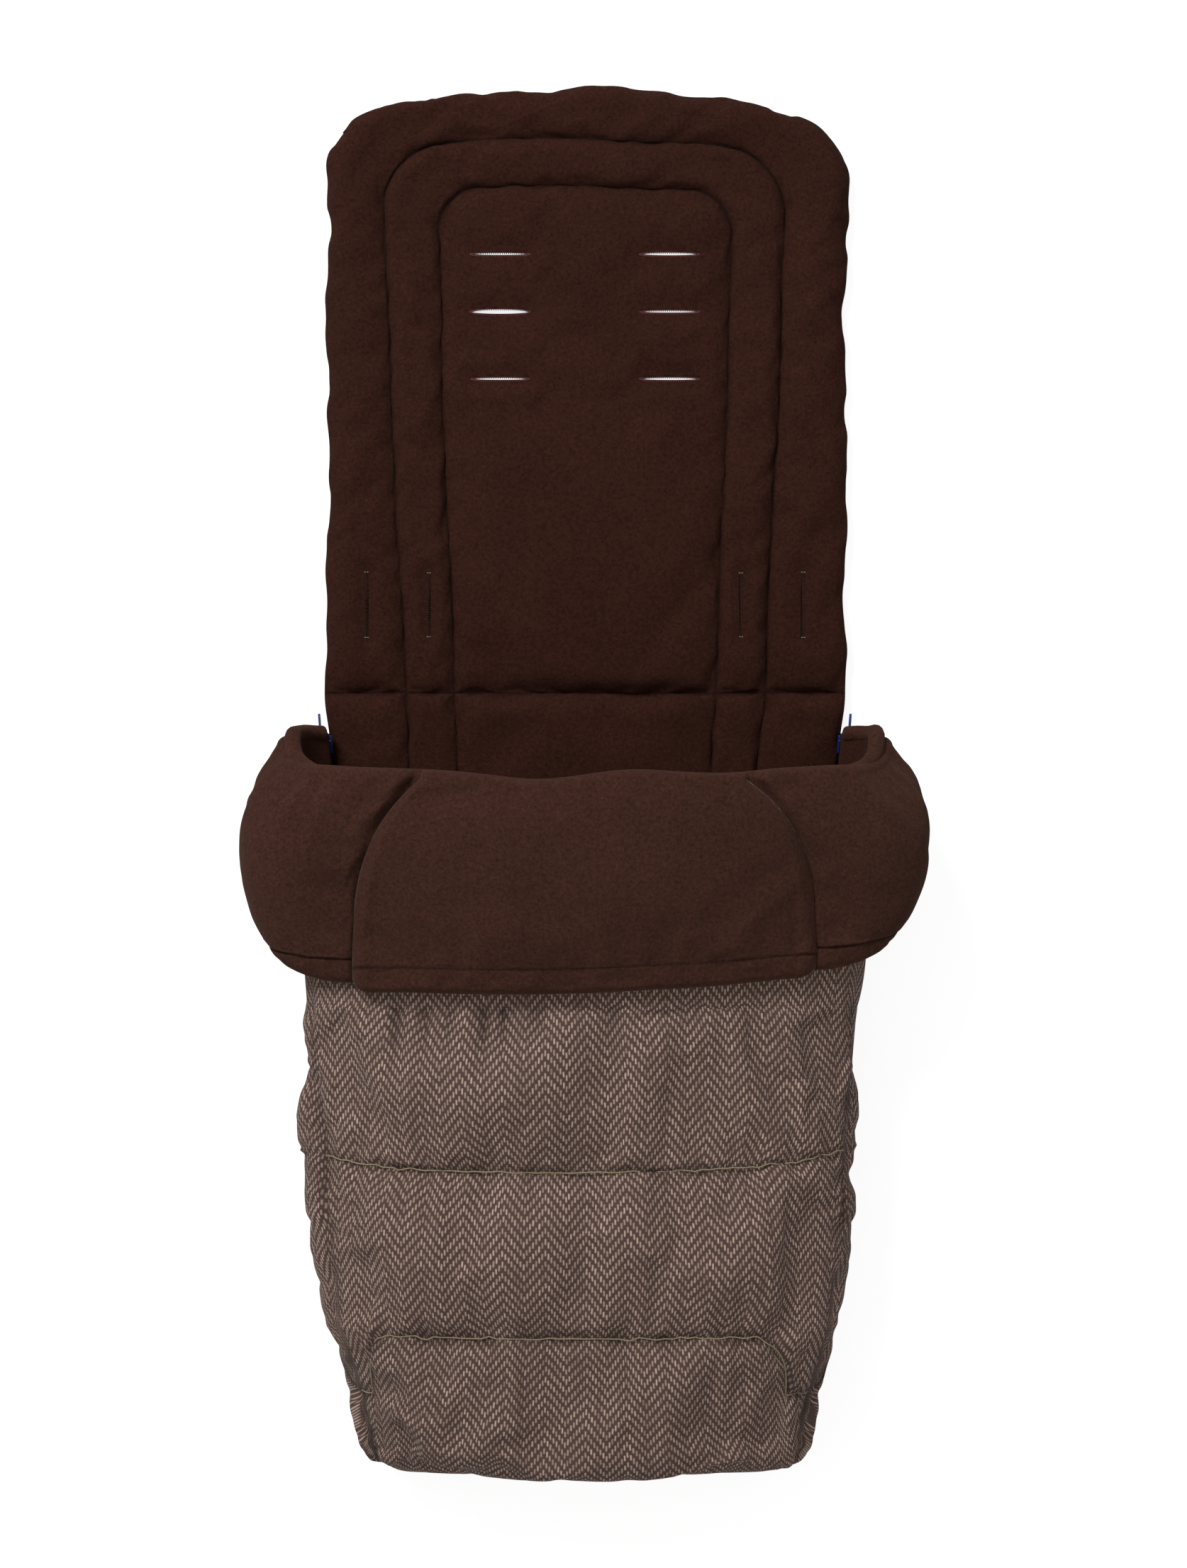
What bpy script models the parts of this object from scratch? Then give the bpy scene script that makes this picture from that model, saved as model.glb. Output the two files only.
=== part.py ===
"""Footmuff for a pushchair, lying open on its back.

Metres, +Z up, head end towards +Y. A quilted liner folds at the seat crease. A padded apron is
zipped to the liner along both sides and folds open about the foot end. A fleece cuff is turned
down over the mouth of the pouch.
"""
import math

import bmesh
import bpy
from mathutils import Matrix, Vector

# The gap that neighbouring pieces keep
CLEARANCE = 0.0003

# Stations along the length
BACK_LENGTH = 0.4055
MOUTH_SETBACK = 0.0585
CUFF_DROP = 0.139
UPPER_PANEL_LENGTH = 0.2500
MIDDLE_PANEL_LENGTH = 0.1120
TOE_LENGTH = 0.100
TOE_WALL = 0.008

# Liner
BACK_HALF_WIDTH_HEAD = 0.1775
BACK_HALF_WIDTH_CREASE = 0.1757
OUTER_SEAM_HALF_HEAD = 0.1385
OUTER_SEAM_HALF_CREASE = 0.1210
INNER_SEAM_HALF_HEAD = 0.1025
INNER_SEAM_HALF_CREASE = 0.0880
HEAD_BORDER = 0.0352
HEAD_BAND = 0.0310
HEAD_CORNER_RADIUS = 0.045
SEAM_CORNER_RADIUS = 0.038
INNER_CORNER_RADIUS = 0.030
FOOT_CORNER_RADIUS = 0.022
PAD_CROWN = 0.020
PAD_SEAM_HEIGHT = 0.0090
PAD_EDGE_HEIGHT = 0.0090
PAD_CREST_RUN = 0.024
CREST_EXPONENT = 3
BAND_CREST_EXPONENT = 4
FLEECE_THICKNESS = 0.0015
REAR_CLOTH_THICKNESS = 0.0010
REAR_EDGE_RISE = 0.0060
SEAT_HALF_WIDTH_MOUTH = 0.1720
SEAT_HALF_WIDTH_FOOT = 0.1353

# Harness slots
SHOULDER_SLOT_LENGTH = 0.041
SHOULDER_SLOT_HALF_SPACING = 0.057
SHOULDER_SLOT_FIRST = 0.1107
SHOULDER_SLOT_SECOND = 0.1494
SHOULDER_SLOT_THIRD = 0.1946
LAP_SLOT_LENGTH = 0.046
LAP_SLOT_TO_CREASE = 0.0590
LAP_SLOT_INNER_HALF = 0.1050
LAP_SLOT_OUTER_HALF = 0.1469
SLOT_WIDTH = 0.0052
SLOT_THREAD_WALL = 0.0010
SLOT_SEATING = 0.0004

# Arch of the apron
MOUTH_HEIGHT = 0.123
SEAM_ONE_HEIGHT = 0.101
SEAM_TWO_HEIGHT = 0.090
ARCH_SHOULDER = 0.035
ARCH_EXPONENT = 2.4
TUCK_ANGLE = math.radians(27.5)
PANEL_EDGE_ANGLE = math.radians(12)
PANEL_EDGE_GAP_ANGLE = math.radians(0.35)
RIM_RAKE = 0.034
RIM_FADE = 0.120
TOE_PROFILE_EXPONENT = 2.5
ZIP_BAND_HEIGHT = 0.0303
FOLD_HEIGHT = 0.0100
SKIRT_DROP_RUN = 0.040

# Layers of the apron, measured outward from the inside of its lining
LINING_THICKNESS = 0.0015
SHELL_CLOTH_THICKNESS = 0.0012
WADDING_GAP = 0.0009
LINING_GAP = 0.0020
SEAM_DEPTH = 0.0050
BOTTOM_EDGE_DEPTH = 0.0032
FLAT_DEPTH = 0.0080
PANEL_CROWN_TOP = 0.0185
PANEL_CROWN_SIDE = 0.0120
GUSSET_CROWN = 0.0130
HEM_CLEARANCE = 0.008

# Cuff
CUFF_HALF_WIDTH_RIM = 0.105
CUFF_HALF_WIDTH_HEM = 0.151
CUFF_CORNER_RADIUS = 0.022
CUFF_GAP = 0.0012
CUFF_RIM_GAP = 0.0060
CUFF_CLOTH_THICKNESS = 0.0012
CUFF_FLEECE_THICKNESS = 0.0020
CUFF_EDGE_DEPTH = 0.0045
CUFF_CENTRE_CROWN = 0.0110
CUFF_WING_CROWN = 0.0340
CUFF_SEAT_GAP = 0.0010
WING_DROP_SHARE = 0.94
WING_SIDE_SHARE = 0.80
WING_FULL_SHARE = 0.6
WING_GAP_STEEPNESS = 3.5
CUFF_FLARE_EXPONENT = 3.6
WING_TUCK_ANGLE = math.radians(8)

# Zips
ZIP_TOP_LEAD = 0.026
ZIP_LENGTH = 0.384
TAPE_THICKNESS = 0.0010
TAPE_FOOT_HEIGHT = 0.0060
LINER_TAPE_TOP = 0.0161
APRON_TAPE_BOTTOM = 0.0245
TOOTH_PITCH = 0.0060
TOOTH_ROOT_WIDTH = 0.0028
TOOTH_TIP_WIDTH = 0.0020
TOOTH_DEPTH = 0.0038
TOOTH_SPINE = 0.0012
TEETH_HALF_THICKNESS = 0.0014
STOP_LENGTH = 0.0045

# Slider and pull tab
SLIDER_LENGTH = 0.0120
SLIDER_NARROW_SHARE = 0.62
SLIDER_PLATE = 0.0012
SLIDER_SIDE_CLEARANCE = 0.0005
SLIDER_BRIDGE = 0.0022
CROWN_HALF_HEIGHT = 0.0015
CROWN_WALL = 0.0009
CROWN_DEPTH = 0.0022
CROWN_HALF_LENGTH = 0.0022
TAB_BAR_HALF = 0.0006
TAB_WINDOW_LENGTH = 0.0048
TAB_WINDOW_HALF_HEIGHT = 0.0025
TAB_HALF_HEIGHT = 0.0042
TAB_LENGTH = 0.021
TAB_TIP_RADIUS = 0.0030
TAB_TIP_STEPS = 4

# Overrun of a cutter past what it cuts
OVERRUN = 0.002

# Stations that follow from the sizes above
POUCH_LENGTH = UPPER_PANEL_LENGTH + MIDDLE_PANEL_LENGTH + TOE_LENGTH + TOE_WALL
LENGTH = BACK_LENGTH + MOUTH_SETBACK + POUCH_LENGTH
HEAD_Y = LENGTH / 2
CREASE_Y = HEAD_Y - BACK_LENGTH
MOUTH_Y = CREASE_Y - MOUTH_SETBACK
HEM_Y = MOUTH_Y - CUFF_DROP
PUFF_START_Y = HEM_Y - HEM_CLEARANCE
SEAM_ONE_Y = MOUTH_Y - UPPER_PANEL_LENGTH
SEAM_TWO_Y = SEAM_ONE_Y - MIDDLE_PANEL_LENGTH
TOE_INSIDE_Y = SEAM_TWO_Y - TOE_LENGTH
SEAT_END_Y = TOE_INSIDE_Y + CLEARANCE
ZIP_TOP_Y = MOUTH_Y + ZIP_TOP_LEAD
ZIP_END_Y = ZIP_TOP_Y - ZIP_LENGTH

# Shares at which the grids of the sheets have their lines
BAND_LINE_SHARES = (0, 0.2, 0.8)
CENTRE_LINE_SHARES = (0, 0.14)
BACK_ROW_SHARES = (0, 0.05, 0.35, 0.7, 0.95, 1)
SEAT_ROW_SHARES = (0, 0.3, 0.65, 0.96, 1)
CLOTH_RISE_SHARE = 0.8
PUFF_ROW_SHARES = (0, 0.07, 0.28, 0.72, 0.93, 1)
FLAT_ROW_SHARES = (0, 0.06, 0.5, 1)
TOE_ROW_SHARES = (0, 0.07, 0.27, 0.52, 0.73, 0.87, 0.96, 1)
PANEL_COLUMN_SHARES = (0, 0.04, 0.14, 0.26, 0.42, 0.58, 0.74, 0.86, 0.96, 1)
GUSSET_COLUMN_SHARES = (0, 0.1, 0.5, 0.9, 1)
CUFF_COLUMN_SHARES = (0, 0.05, 0.18, 0.34, 0.5, 0.66, 0.82, 0.95, 1)
CUFF_ROW_SHARES = (0, 0.07, 0.35, 0.7, 0.93, 1)
WING_COLUMN_SHARES = (0, 0.06, 0.18, 0.3, 0.42, 0.54, 0.66, 0.78, 0.92, 1)

FLEECE_BROWN = (0.050, 0.024, 0.018, 1)
HERRINGBONE_BROWN = (0.170, 0.115, 0.090, 1)
WADDING_WHITE = (0.80, 0.79, 0.76, 1)
THREAD_MAROON = (0.190, 0.070, 0.085, 1)
TAPE_BROWN = (0.035, 0.018, 0.014, 1)
PULL_BLUE = (0.012, 0.030, 0.220, 1)


def clear_scene():
    for thing in list(bpy.data.objects):
        bpy.data.objects.remove(thing, do_unlink=True)


def make_collection(name):
    collection = bpy.data.collections.new(name)
    bpy.context.scene.collection.children.link(collection)
    return collection


def make_material(name, colour, roughness, metallic):
    material = bpy.data.materials.new(name)
    material.use_nodes = True
    shader = material.node_tree.nodes["Principled BSDF"]
    shader.inputs["Base Color"].default_value = colour
    shader.inputs["Roughness"].default_value = roughness
    shader.inputs["Metallic"].default_value = metallic
    return material


clear_scene()
FOOTMUFF = make_collection("stroller_footmuff")
CUTTERS = make_collection("cutters")


def add_object(name, data, look, parent=None):
    """Link an object with its own material, keeping its place when it has a parent."""
    thing = bpy.data.objects.new(name, data)
    FOOTMUFF.objects.link(thing)
    data.materials.append(make_material(name, *look))
    if parent is not None:
        thing.parent = parent
        thing.matrix_parent_inverse = parent.matrix_basis.inverted()
    return thing


def add_pivot(name, place):
    pivot = bpy.data.objects.new(name, None)
    FOOTMUFF.objects.link(pivot)
    pivot.location = place
    return pivot


FLEECE = (FLEECE_BROWN, 0.95, 0.0)
HERRINGBONE = (HERRINGBONE_BROWN, 0.85, 0.0)
WADDING = (WADDING_WHITE, 1.0, 0.0)
REAR_CLOTH = (TAPE_BROWN, 0.8, 0.0)
THREAD = (THREAD_MAROON, 0.7, 0.0)
ZIP_TAPE = (TAPE_BROWN, 0.85, 0.0)
ZIP_TEETH = (TAPE_BROWN, 0.35, 0.0)
ZIP_METAL = (PULL_BLUE, 0.25, 0.6)


def closed_sheet(name, columns, rows, outer, inner, look, parent=None):
    """Loft one closed sheet: a grid, extruded, whose sides follow two surfaces.

    outer and inner turn a column and a row into a place.
    """
    across = len(columns) - 1
    along = len(rows) - 1
    sheet = bmesh.new()
    bmesh.ops.create_grid(sheet, x_segments=across, y_segments=along, size=1)
    raised = bmesh.ops.extrude_face_region(sheet, geom=sheet.faces[:])
    tops = {part for part in raised["geom"] if isinstance(part, bmesh.types.BMVert)}
    for vert in sheet.verts:
        column = columns[round((vert.co.x + 1) * across / 2)]
        row = rows[round((vert.co.y + 1) * along / 2)]
        place = outer if vert in tops else inner
        vert.co = place(column, row)
    bmesh.ops.recalc_face_normals(sheet, faces=sheet.faces[:])
    if sheet.calc_volume(signed=True) < 0:
        bmesh.ops.reverse_faces(sheet, faces=sheet.faces[:])
    data = bpy.data.meshes.new(name)
    sheet.to_mesh(data)
    sheet.free()
    data.shade_smooth()
    data.set_sharp_from_angle(angle=math.radians(50))
    return add_object(name, data, look, parent)


def outline_solid(name, outlines, depth, frame, look, parent=None):
    """Extrude a flat outline, drawn in the XY plane of the frame, by depth to both sides."""
    curve = bpy.data.curves.new(name, "CURVE")
    curve.dimensions = "2D"
    curve.fill_mode = "BOTH"
    curve.extrude = depth
    curve.resolution_u = 1
    for outline in outlines:
        spline = curve.splines.new("POLY")
        spline.points.add(len(outline) - 1)
        for point, (across, along) in zip(spline.points, outline):
            point.co = (across, along, 0, 1)
        spline.use_cyclic_u = True
    guide = bpy.data.objects.new(name + "_outline", curve)
    CUTTERS.objects.link(guide)
    bpy.context.view_layer.update()
    evaluated = guide.evaluated_get(bpy.context.evaluated_depsgraph_get())
    data = bpy.data.meshes.new_from_object(evaluated)
    bpy.data.objects.remove(guide)
    solid = bmesh.new()
    solid.from_mesh(data)
    bmesh.ops.remove_doubles(solid, verts=solid.verts[:], dist=CLEARANCE / 10)
    bmesh.ops.transform(solid, matrix=frame, verts=solid.verts[:])
    bmesh.ops.recalc_face_normals(solid, faces=solid.faces[:])
    solid.to_mesh(data)
    solid.free()
    if look is None:
        return data
    data.name = name
    data.materials.clear()
    return add_object(name, data, look, parent)


def arc(centre, radius, start, end, steps):
    """Points along a round stretch of an outline, angles in degrees."""
    points = []
    for step in range(steps + 1):
        angle = math.radians(start + (end - start) * step / steps)
        points.append((centre[0] + radius * math.cos(angle), centre[1] + radius * math.sin(angle)))
    return points


def stadium(length, width, steps=3):
    """A slot's outline, centred, with its long side along the first axis."""
    radius = width / 2
    reach = length / 2 - radius
    return arc((reach, 0), radius, -90, 90, steps) + arc((-reach, 0), radius, 90, 270, steps)


def cut(thing, cutter):
    boolean = thing.modifiers.new("cut_" + cutter.name, "BOOLEAN")
    boolean.operation = "DIFFERENCE"
    boolean.solver = "EXACT"
    boolean.object = cutter


def add_cutter(name, data):
    cutter = bpy.data.objects.new(name, data)
    CUTTERS.objects.link(cutter)
    cutter.hide_render = True
    cutter.display_type = "WIRE"
    return cutter


def mix(first, second, share):
    return first + (second - first) * share


def smooth(share):
    share = min(max(share, 0), 1)
    return share * share * (3 - 2 * share)


# Liner


def zip_line_x(y):
    """Half-width of the seat section, along whose straight edge the zip is sewn."""
    share = (ZIP_TOP_Y - y) / (ZIP_TOP_Y - SEAT_END_Y)
    return mix(SEAT_HALF_WIDTH_MOUTH, SEAT_HALF_WIDTH_FOOT, share)


class LinerSection:
    """One section of the quilted liner, between its end edge and the seat crease.

    A grid line is numbered from the outline: 0 is the outline, 1 the outer seam, 2 the inner seam
    and 3 the middle of the panel, or the crease for a row. Lines between have shares.
    """

    def __init__(self, end_y, crease_y, widths, depths, radii, cross_seams):
        self.end_y = end_y
        self.crease_y = crease_y
        self.widths = widths
        self.depths = depths
        self.radii = radii
        self.cross_seams = cross_seams

    def between(self, values, line):
        low = min(int(line), len(values) - 2)
        return mix(values[low], values[low + 1], line - low)

    def row_y(self, row):
        """Place along the length of a row that isn't rounded at a corner."""
        direction = 1 if self.crease_y > self.end_y else -1
        depths = self.depths + (abs(self.crease_y - self.end_y),)
        return self.end_y + direction * self.between(depths, row)

    def plan(self, column, row):
        """Place of a grid point in plan, with each ring's corners rounded."""
        side, line = column
        y = self.row_y(row)
        half = self.between(self.widths(y) + (0,), line)
        ring = min(line, row)
        radius = self.between(self.radii + (0,), ring)
        top = self.row_y(ring)
        ring_half = self.between(self.widths(y) + (0,), ring)
        along = abs(top - y)
        across = ring_half - half
        direction = 1 if self.end_y > self.crease_y else -1
        if radius > 0 and max(along, across) < radius:
            angle = math.radians(45) * (1 + (across - along) / radius)
            half = ring_half - radius + radius * math.cos(angle)
            y = top - direction * (radius - radius * math.sin(angle))
        return side * half, y

    def crest(self, column, row):
        """Share of the pad's crown at a grid point: none on a seam, all of it between seams."""
        line = column[1]
        ring = min(line, row) if self.cross_seams else line
        if ring < 2:
            share = 1 - abs(2 * (ring % 1) - 1) ** BAND_CREST_EXPONENT
        else:
            y = self.row_y(row)
            seam_half = self.widths(y)[2]
            run = seam_half - self.between(self.widths(y) + (0,), line)
            if self.cross_seams:
                run = min(run, abs(self.row_y(2) - y))
            share = 1 - (1 - min(run / PAD_CREST_RUN, 1)) ** CREST_EXPONENT
        y = self.row_y(row)
        to_crease = min(abs(y - self.crease_y) / PAD_CREST_RUN, 1)
        share *= 1 - (1 - to_crease) ** CREST_EXPONENT
        if not self.cross_seams:
            to_end = min(abs(y - self.end_y) / PAD_CREST_RUN, 1)
            share *= 1 - (1 - to_end) ** CREST_EXPONENT
        return share

    def top(self, column, row):
        ring = min(column[1], row, 1)
        base = mix(PAD_EDGE_HEIGHT, PAD_SEAM_HEIGHT, ring)
        return mix(base, PAD_CROWN, self.crest(column, row))

    def bottom(self, column, row):
        """The rear cloth lies flat and rises at the outline to meet the fleece."""
        ring = min(column[1], row)
        return REAR_EDGE_RISE * (1 - min(ring / CLOTH_RISE_SHARE, 1))


def back_widths(y):
    share = (HEAD_Y - y) / BACK_LENGTH
    return (
        mix(BACK_HALF_WIDTH_HEAD, BACK_HALF_WIDTH_CREASE, share),
        mix(OUTER_SEAM_HALF_HEAD, OUTER_SEAM_HALF_CREASE, share),
        mix(INNER_SEAM_HALF_HEAD, INNER_SEAM_HALF_CREASE, share),
    )


def seat_widths(y):
    outline = zip_line_x(y)
    return (
        outline,
        outline * OUTER_SEAM_HALF_CREASE / BACK_HALF_WIDTH_CREASE,
        outline * INNER_SEAM_HALF_CREASE / BACK_HALF_WIDTH_CREASE,
    )


BACK = LinerSection(
    HEAD_Y,
    CREASE_Y + CLEARANCE / 2,
    back_widths,
    (0, HEAD_BORDER, HEAD_BORDER + HEAD_BAND),
    (HEAD_CORNER_RADIUS, SEAM_CORNER_RADIUS, INNER_CORNER_RADIUS),
    True,
)
SEAT = LinerSection(
    SEAT_END_Y,
    CREASE_Y - CLEARANCE / 2,
    seat_widths,
    (0, HEAD_BORDER, HEAD_BORDER + HEAD_BAND),
    (FOOT_CORNER_RADIUS, 0, 0),
    False,
)


def band_lines():
    lines = []
    for band in (0, 1):
        lines += [band + share for share in BAND_LINE_SHARES]
    return lines


def liner_columns(lines):
    """The same lines on both sides of the middle line."""
    left = [(-1, line) for line in lines]
    right = [(1, line) for line in reversed(lines)]
    return left + [(1, 3)] + right


def make_liner(section, prefix, row_shares, parent):
    lines = band_lines() + [2 + share for share in CENTRE_LINE_SHARES]
    columns = liner_columns(lines)
    rows = band_lines() + [2 + share for share in row_shares]
    rear_columns = liner_columns(band_lines() + [2])
    rear_rows = band_lines() + [2, 3]
    inner_columns = liner_columns(lines[1:])
    inner_rows = rows[1:]

    def fleece_top(column, row):
        return Vector((*section.plan(column, row), section.top(column, row)))

    def fleece_under(column, row):
        return fleece_top(column, row) - Vector((0, 0, FLEECE_THICKNESS))

    def wadding_top(column, row):
        lift = section.top(column, row) - FLEECE_THICKNESS - WADDING_GAP
        return Vector((*section.plan(column, row), lift))

    def wadding_under(column, row):
        lift = section.bottom(column, row) + REAR_CLOTH_THICKNESS + WADDING_GAP
        return Vector((*section.plan(column, row), lift))

    def rear_under(column, row):
        return Vector((*section.plan(column, row), section.bottom(column, row)))

    def rear_top(column, row):
        return rear_under(column, row) + Vector((0, 0, REAR_CLOTH_THICKNESS))

    layers = (
        ("fleece", columns, rows, fleece_top, fleece_under, FLEECE),
        ("wadding", inner_columns, inner_rows, wadding_top, wadding_under, WADDING),
        ("rear_cloth", rear_columns, rear_rows, rear_top, rear_under, REAR_CLOTH),
    )
    return [closed_sheet(f"{prefix}_{label}", *sheet, parent) for label, *sheet in layers]


def slot_places():
    """Name, centre, length and turn of each harness slot."""
    places = []
    setbacks = (SHOULDER_SLOT_FIRST, SHOULDER_SLOT_SECOND, SHOULDER_SLOT_THIRD)
    for side, hand in ((-1, "left"), (1, "right")):
        for number, setback in enumerate(setbacks, 1):
            centre = (side * SHOULDER_SLOT_HALF_SPACING, HEAD_Y - setback)
            places.append((f"shoulder_slot_edge_{hand}_{number}", centre, SHOULDER_SLOT_LENGTH, 0))
        for half, row in ((LAP_SLOT_INNER_HALF, "inner"), (LAP_SLOT_OUTER_HALF, "outer")):
            centre = (side * half, CREASE_Y + LAP_SLOT_TO_CREASE)
            places.append((f"lap_slot_edge_{hand}_{row}", centre, LAP_SLOT_LENGTH, math.radians(90)))
    return places


def make_slots(layers, parent):
    """Cut the harness slots through the layers and line each with its stitched edge."""
    thread_length = 2 * SLOT_THREAD_WALL
    for name, centre, length, turn in slot_places():
        frame = Matrix.Translation((*centre, PAD_CROWN / 2)) @ Matrix.Rotation(turn, 4, "Z")
        hole = stadium(length + thread_length + 2 * CLEARANCE, SLOT_WIDTH + thread_length + 2 * CLEARANCE)
        data = outline_solid(name + "_hole", [hole], PAD_CROWN / 2 + OVERRUN, frame, None)
        cutter = add_cutter(name + "_hole", data)
        for layer in layers:
            cut(layer, cutter)
        ring = [stadium(length + thread_length, SLOT_WIDTH + thread_length), stadium(length, SLOT_WIDTH)]
        half_depth = PAD_CROWN / 2 - SLOT_SEATING
        outline_solid(name, ring, half_depth, frame, THREAD, parent)


# Arch of the apron


def profile(angle):
    """Across and up shares of a round-shouldered arch at an angle from its widest line."""
    across = math.copysign(abs(math.cos(angle)) ** (2 / ARCH_EXPONENT), math.cos(angle))
    up = math.copysign(abs(math.sin(angle)) ** (2 / ARCH_EXPONENT), math.sin(angle))
    return across, up


def inside_height(y):
    if y > SEAM_ONE_Y:
        share = (MOUTH_Y - y) / (MOUTH_Y - SEAM_ONE_Y)
        return mix(MOUTH_HEIGHT, SEAM_ONE_HEIGHT, smooth(share))
    share = min((SEAM_ONE_Y - y) / (SEAM_ONE_Y - SEAM_TWO_Y), 1)
    return mix(SEAM_ONE_HEIGHT, SEAM_TWO_HEIGHT, share)


def bottom_height(y):
    """Lower edge of the apron: above the zip, and down to the liner's edge past its end."""
    share = smooth((ZIP_END_Y - STOP_LENGTH - y) / SKIRT_DROP_RUN)
    return mix(ZIP_BAND_HEIGHT, FOLD_HEIGHT + CLEARANCE, share)


def toe_share(station):
    """Share of the way from the second seam to the inside of the toe."""
    return min(max(SEAM_TWO_Y - station, 0) / TOE_LENGTH, 1)


def corner_inset(toe):
    """How far the toe is drawn in, so that it follows the liner's rounded foot corners."""
    past = max((toe - 1) * TOE_LENGTH + FOOT_CORNER_RADIUS, 0)
    return FOOT_CORNER_RADIUS - math.sqrt(max(FOOT_CORNER_RADIUS**2 - past**2, 0))


def arch_point(turn, station, depth):
    """A point on the apron, depth outside the inside of its lining.

    turn is 0 at the left lower edge and 1 at the right one. station is the place along the length.
    """
    toe = toe_share(station)
    tuck = TUCK_ANGLE * (1 - toe)
    angle = math.pi + tuck - turn * (math.pi + 2 * tuck)
    across, up = profile(angle)
    bottom = bottom_height(station)
    half = (zip_line_x(station) + CLEARANCE) / profile(tuck)[0]
    height = inside_height(station)
    middle = bottom + ARCH_SHOULDER
    if up >= 0:
        z = middle + (height - middle + depth) * up
    else:
        z = middle + ARCH_SHOULDER * up / -profile(-TUCK_ANGLE)[1]
    if toe > 0:
        fall = max(1 - toe**TOE_PROFILE_EXPONENT, 0) ** (1 / TOE_PROFILE_EXPONENT)
        if tuck > 0 and up < 0:
            z = max(z, bottom)
        z = bottom + (z - bottom) * fall
        half -= corner_inset(toe)
        station -= depth * toe
    else:
        rise = min(max(up, 0), 1)
        fade = smooth((station - MOUTH_Y + RIM_FADE) / RIM_FADE)
        station += RIM_RAKE * (1 - rise) ** 2 * fade
    return Vector((across * (half + depth), station, z))


def turn_at(angle, station=0.0):
    """Turn share of an angle measured up from the widest line on the left."""
    tuck = TUCK_ANGLE * (1 - toe_share(station))
    return (tuck + angle) / (math.pi + 2 * tuck)


def arch_crest(share):
    """Fullness between two seams: steep beside each seam, level in the middle."""
    return 1 - abs(2 * share - 1) ** CREST_EXPONENT


def panel_depth(share, station, start, end, base, is_toe):
    """Outer depth of a top panel: drawn in at its cross seams and side seams."""
    if station > start:
        return base
    travel = min((start - station) / (start - end), 1)
    crown = mix(PANEL_CROWN_SIDE, PANEL_CROWN_TOP, math.sin(math.pi * share))
    along = arch_crest(travel)
    if is_toe and travel > 0.5:
        along = 1
        crown = mix(crown, TOE_WALL, smooth(2 * travel - 1))
    edge = mix(base, SEAM_DEPTH, travel)
    return mix(edge, crown, along * arch_crest(share))


def rows_between(start, end, shares):
    return [mix(start, end, share) for share in shares]


def apron_rows():
    """Stations of the grid lines along the whole apron, shared by all its layers."""
    rows = rows_between(MOUTH_Y, PUFF_START_Y, FLAT_ROW_SHARES)
    rows += rows_between(PUFF_START_Y, SEAM_ONE_Y, PUFF_ROW_SHARES)[1:]
    rows += rows_between(SEAM_ONE_Y, SEAM_TWO_Y, PUFF_ROW_SHARES)[1:]
    rows += rows_between(SEAM_TWO_Y, TOE_INSIDE_Y, TOE_ROW_SHARES)[1:]
    return rows


def gusset_turn(column, station, side):
    """Turn of a line on a side gusset, from the zip to the seam below the top panels."""
    turn = turn_at(PANEL_EDGE_ANGLE - PANEL_EDGE_GAP_ANGLE, station) * column
    return 1 - turn if side > 0 else turn


def panel_turn(column, station):
    """Turn of a line on the top panels, from the left side seam to the right one."""
    low = turn_at(PANEL_EDGE_ANGLE + PANEL_EDGE_GAP_ANGLE, station)
    return mix(low, 1 - low, column)


def make_puff(names, columns, rows, place, depth, parent):
    """Outer cloth and wadding of one puffed piece, over the lining."""
    cloth_name, wadding_name = names

    def outer(column, station):
        return place(column, station, depth(column, station))

    def inner(column, station):
        return place(column, station, depth(column, station) - SHELL_CLOTH_THICKNESS)

    def wadding_outer(column, station):
        fill = depth(column, station) - SHELL_CLOTH_THICKNESS - WADDING_GAP
        return place(column, station, fill)

    def wadding_inner(column, station):
        return place(column, station, LINING_THICKNESS + LINING_GAP)

    closed_sheet(cloth_name, columns, rows, outer, inner, HERRINGBONE, parent)
    fill = (columns[1:-1], rows[1:-1])
    closed_sheet(wadding_name, *fill, wadding_outer, wadding_inner, WADDING, parent)


def make_panel(names, start, end, puff_start, parent):
    """One top panel between two cross seams."""
    half_gap = CLEARANCE / 2
    is_toe = end <= TOE_INSIDE_Y
    base = FLAT_DEPTH if start > puff_start else SEAM_DEPTH
    rows = [row for row in apron_rows() if end <= row <= start]
    rows[0] -= half_gap
    rows[-1] += 0 if is_toe else half_gap

    def place(column, station, depth):
        return arch_point(panel_turn(column, station), station, depth)

    def depth(column, station):
        return panel_depth(column, station, puff_start, end, base, is_toe)

    make_puff(names, list(PANEL_COLUMN_SHARES), rows, place, depth, parent)


def gusset_depth(column, station):
    """Outer depth of a side gusset: thin at the zip, full between, drawn in at the top seam."""
    edge = mix(BOTTOM_EDGE_DEPTH, SEAM_DEPTH, column)
    if station > PUFF_START_Y:
        full = FLAT_DEPTH
    else:
        full = mix(FLAT_DEPTH, GUSSET_CROWN, smooth((PUFF_START_Y - station) / HEM_CLEARANCE))
        full = mix(full, TOE_WALL, smooth(toe_share(station)))
    return mix(edge, full, arch_crest(column))


def make_gusset(hand, side, parent):
    def place(column, station, depth):
        return arch_point(gusset_turn(column, station, side), station, depth)

    names = (f"gusset_{hand}", f"gusset_wadding_{hand}")
    make_puff(names, list(GUSSET_COLUMN_SHARES), apron_rows(), place, gusset_depth, parent)


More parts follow.
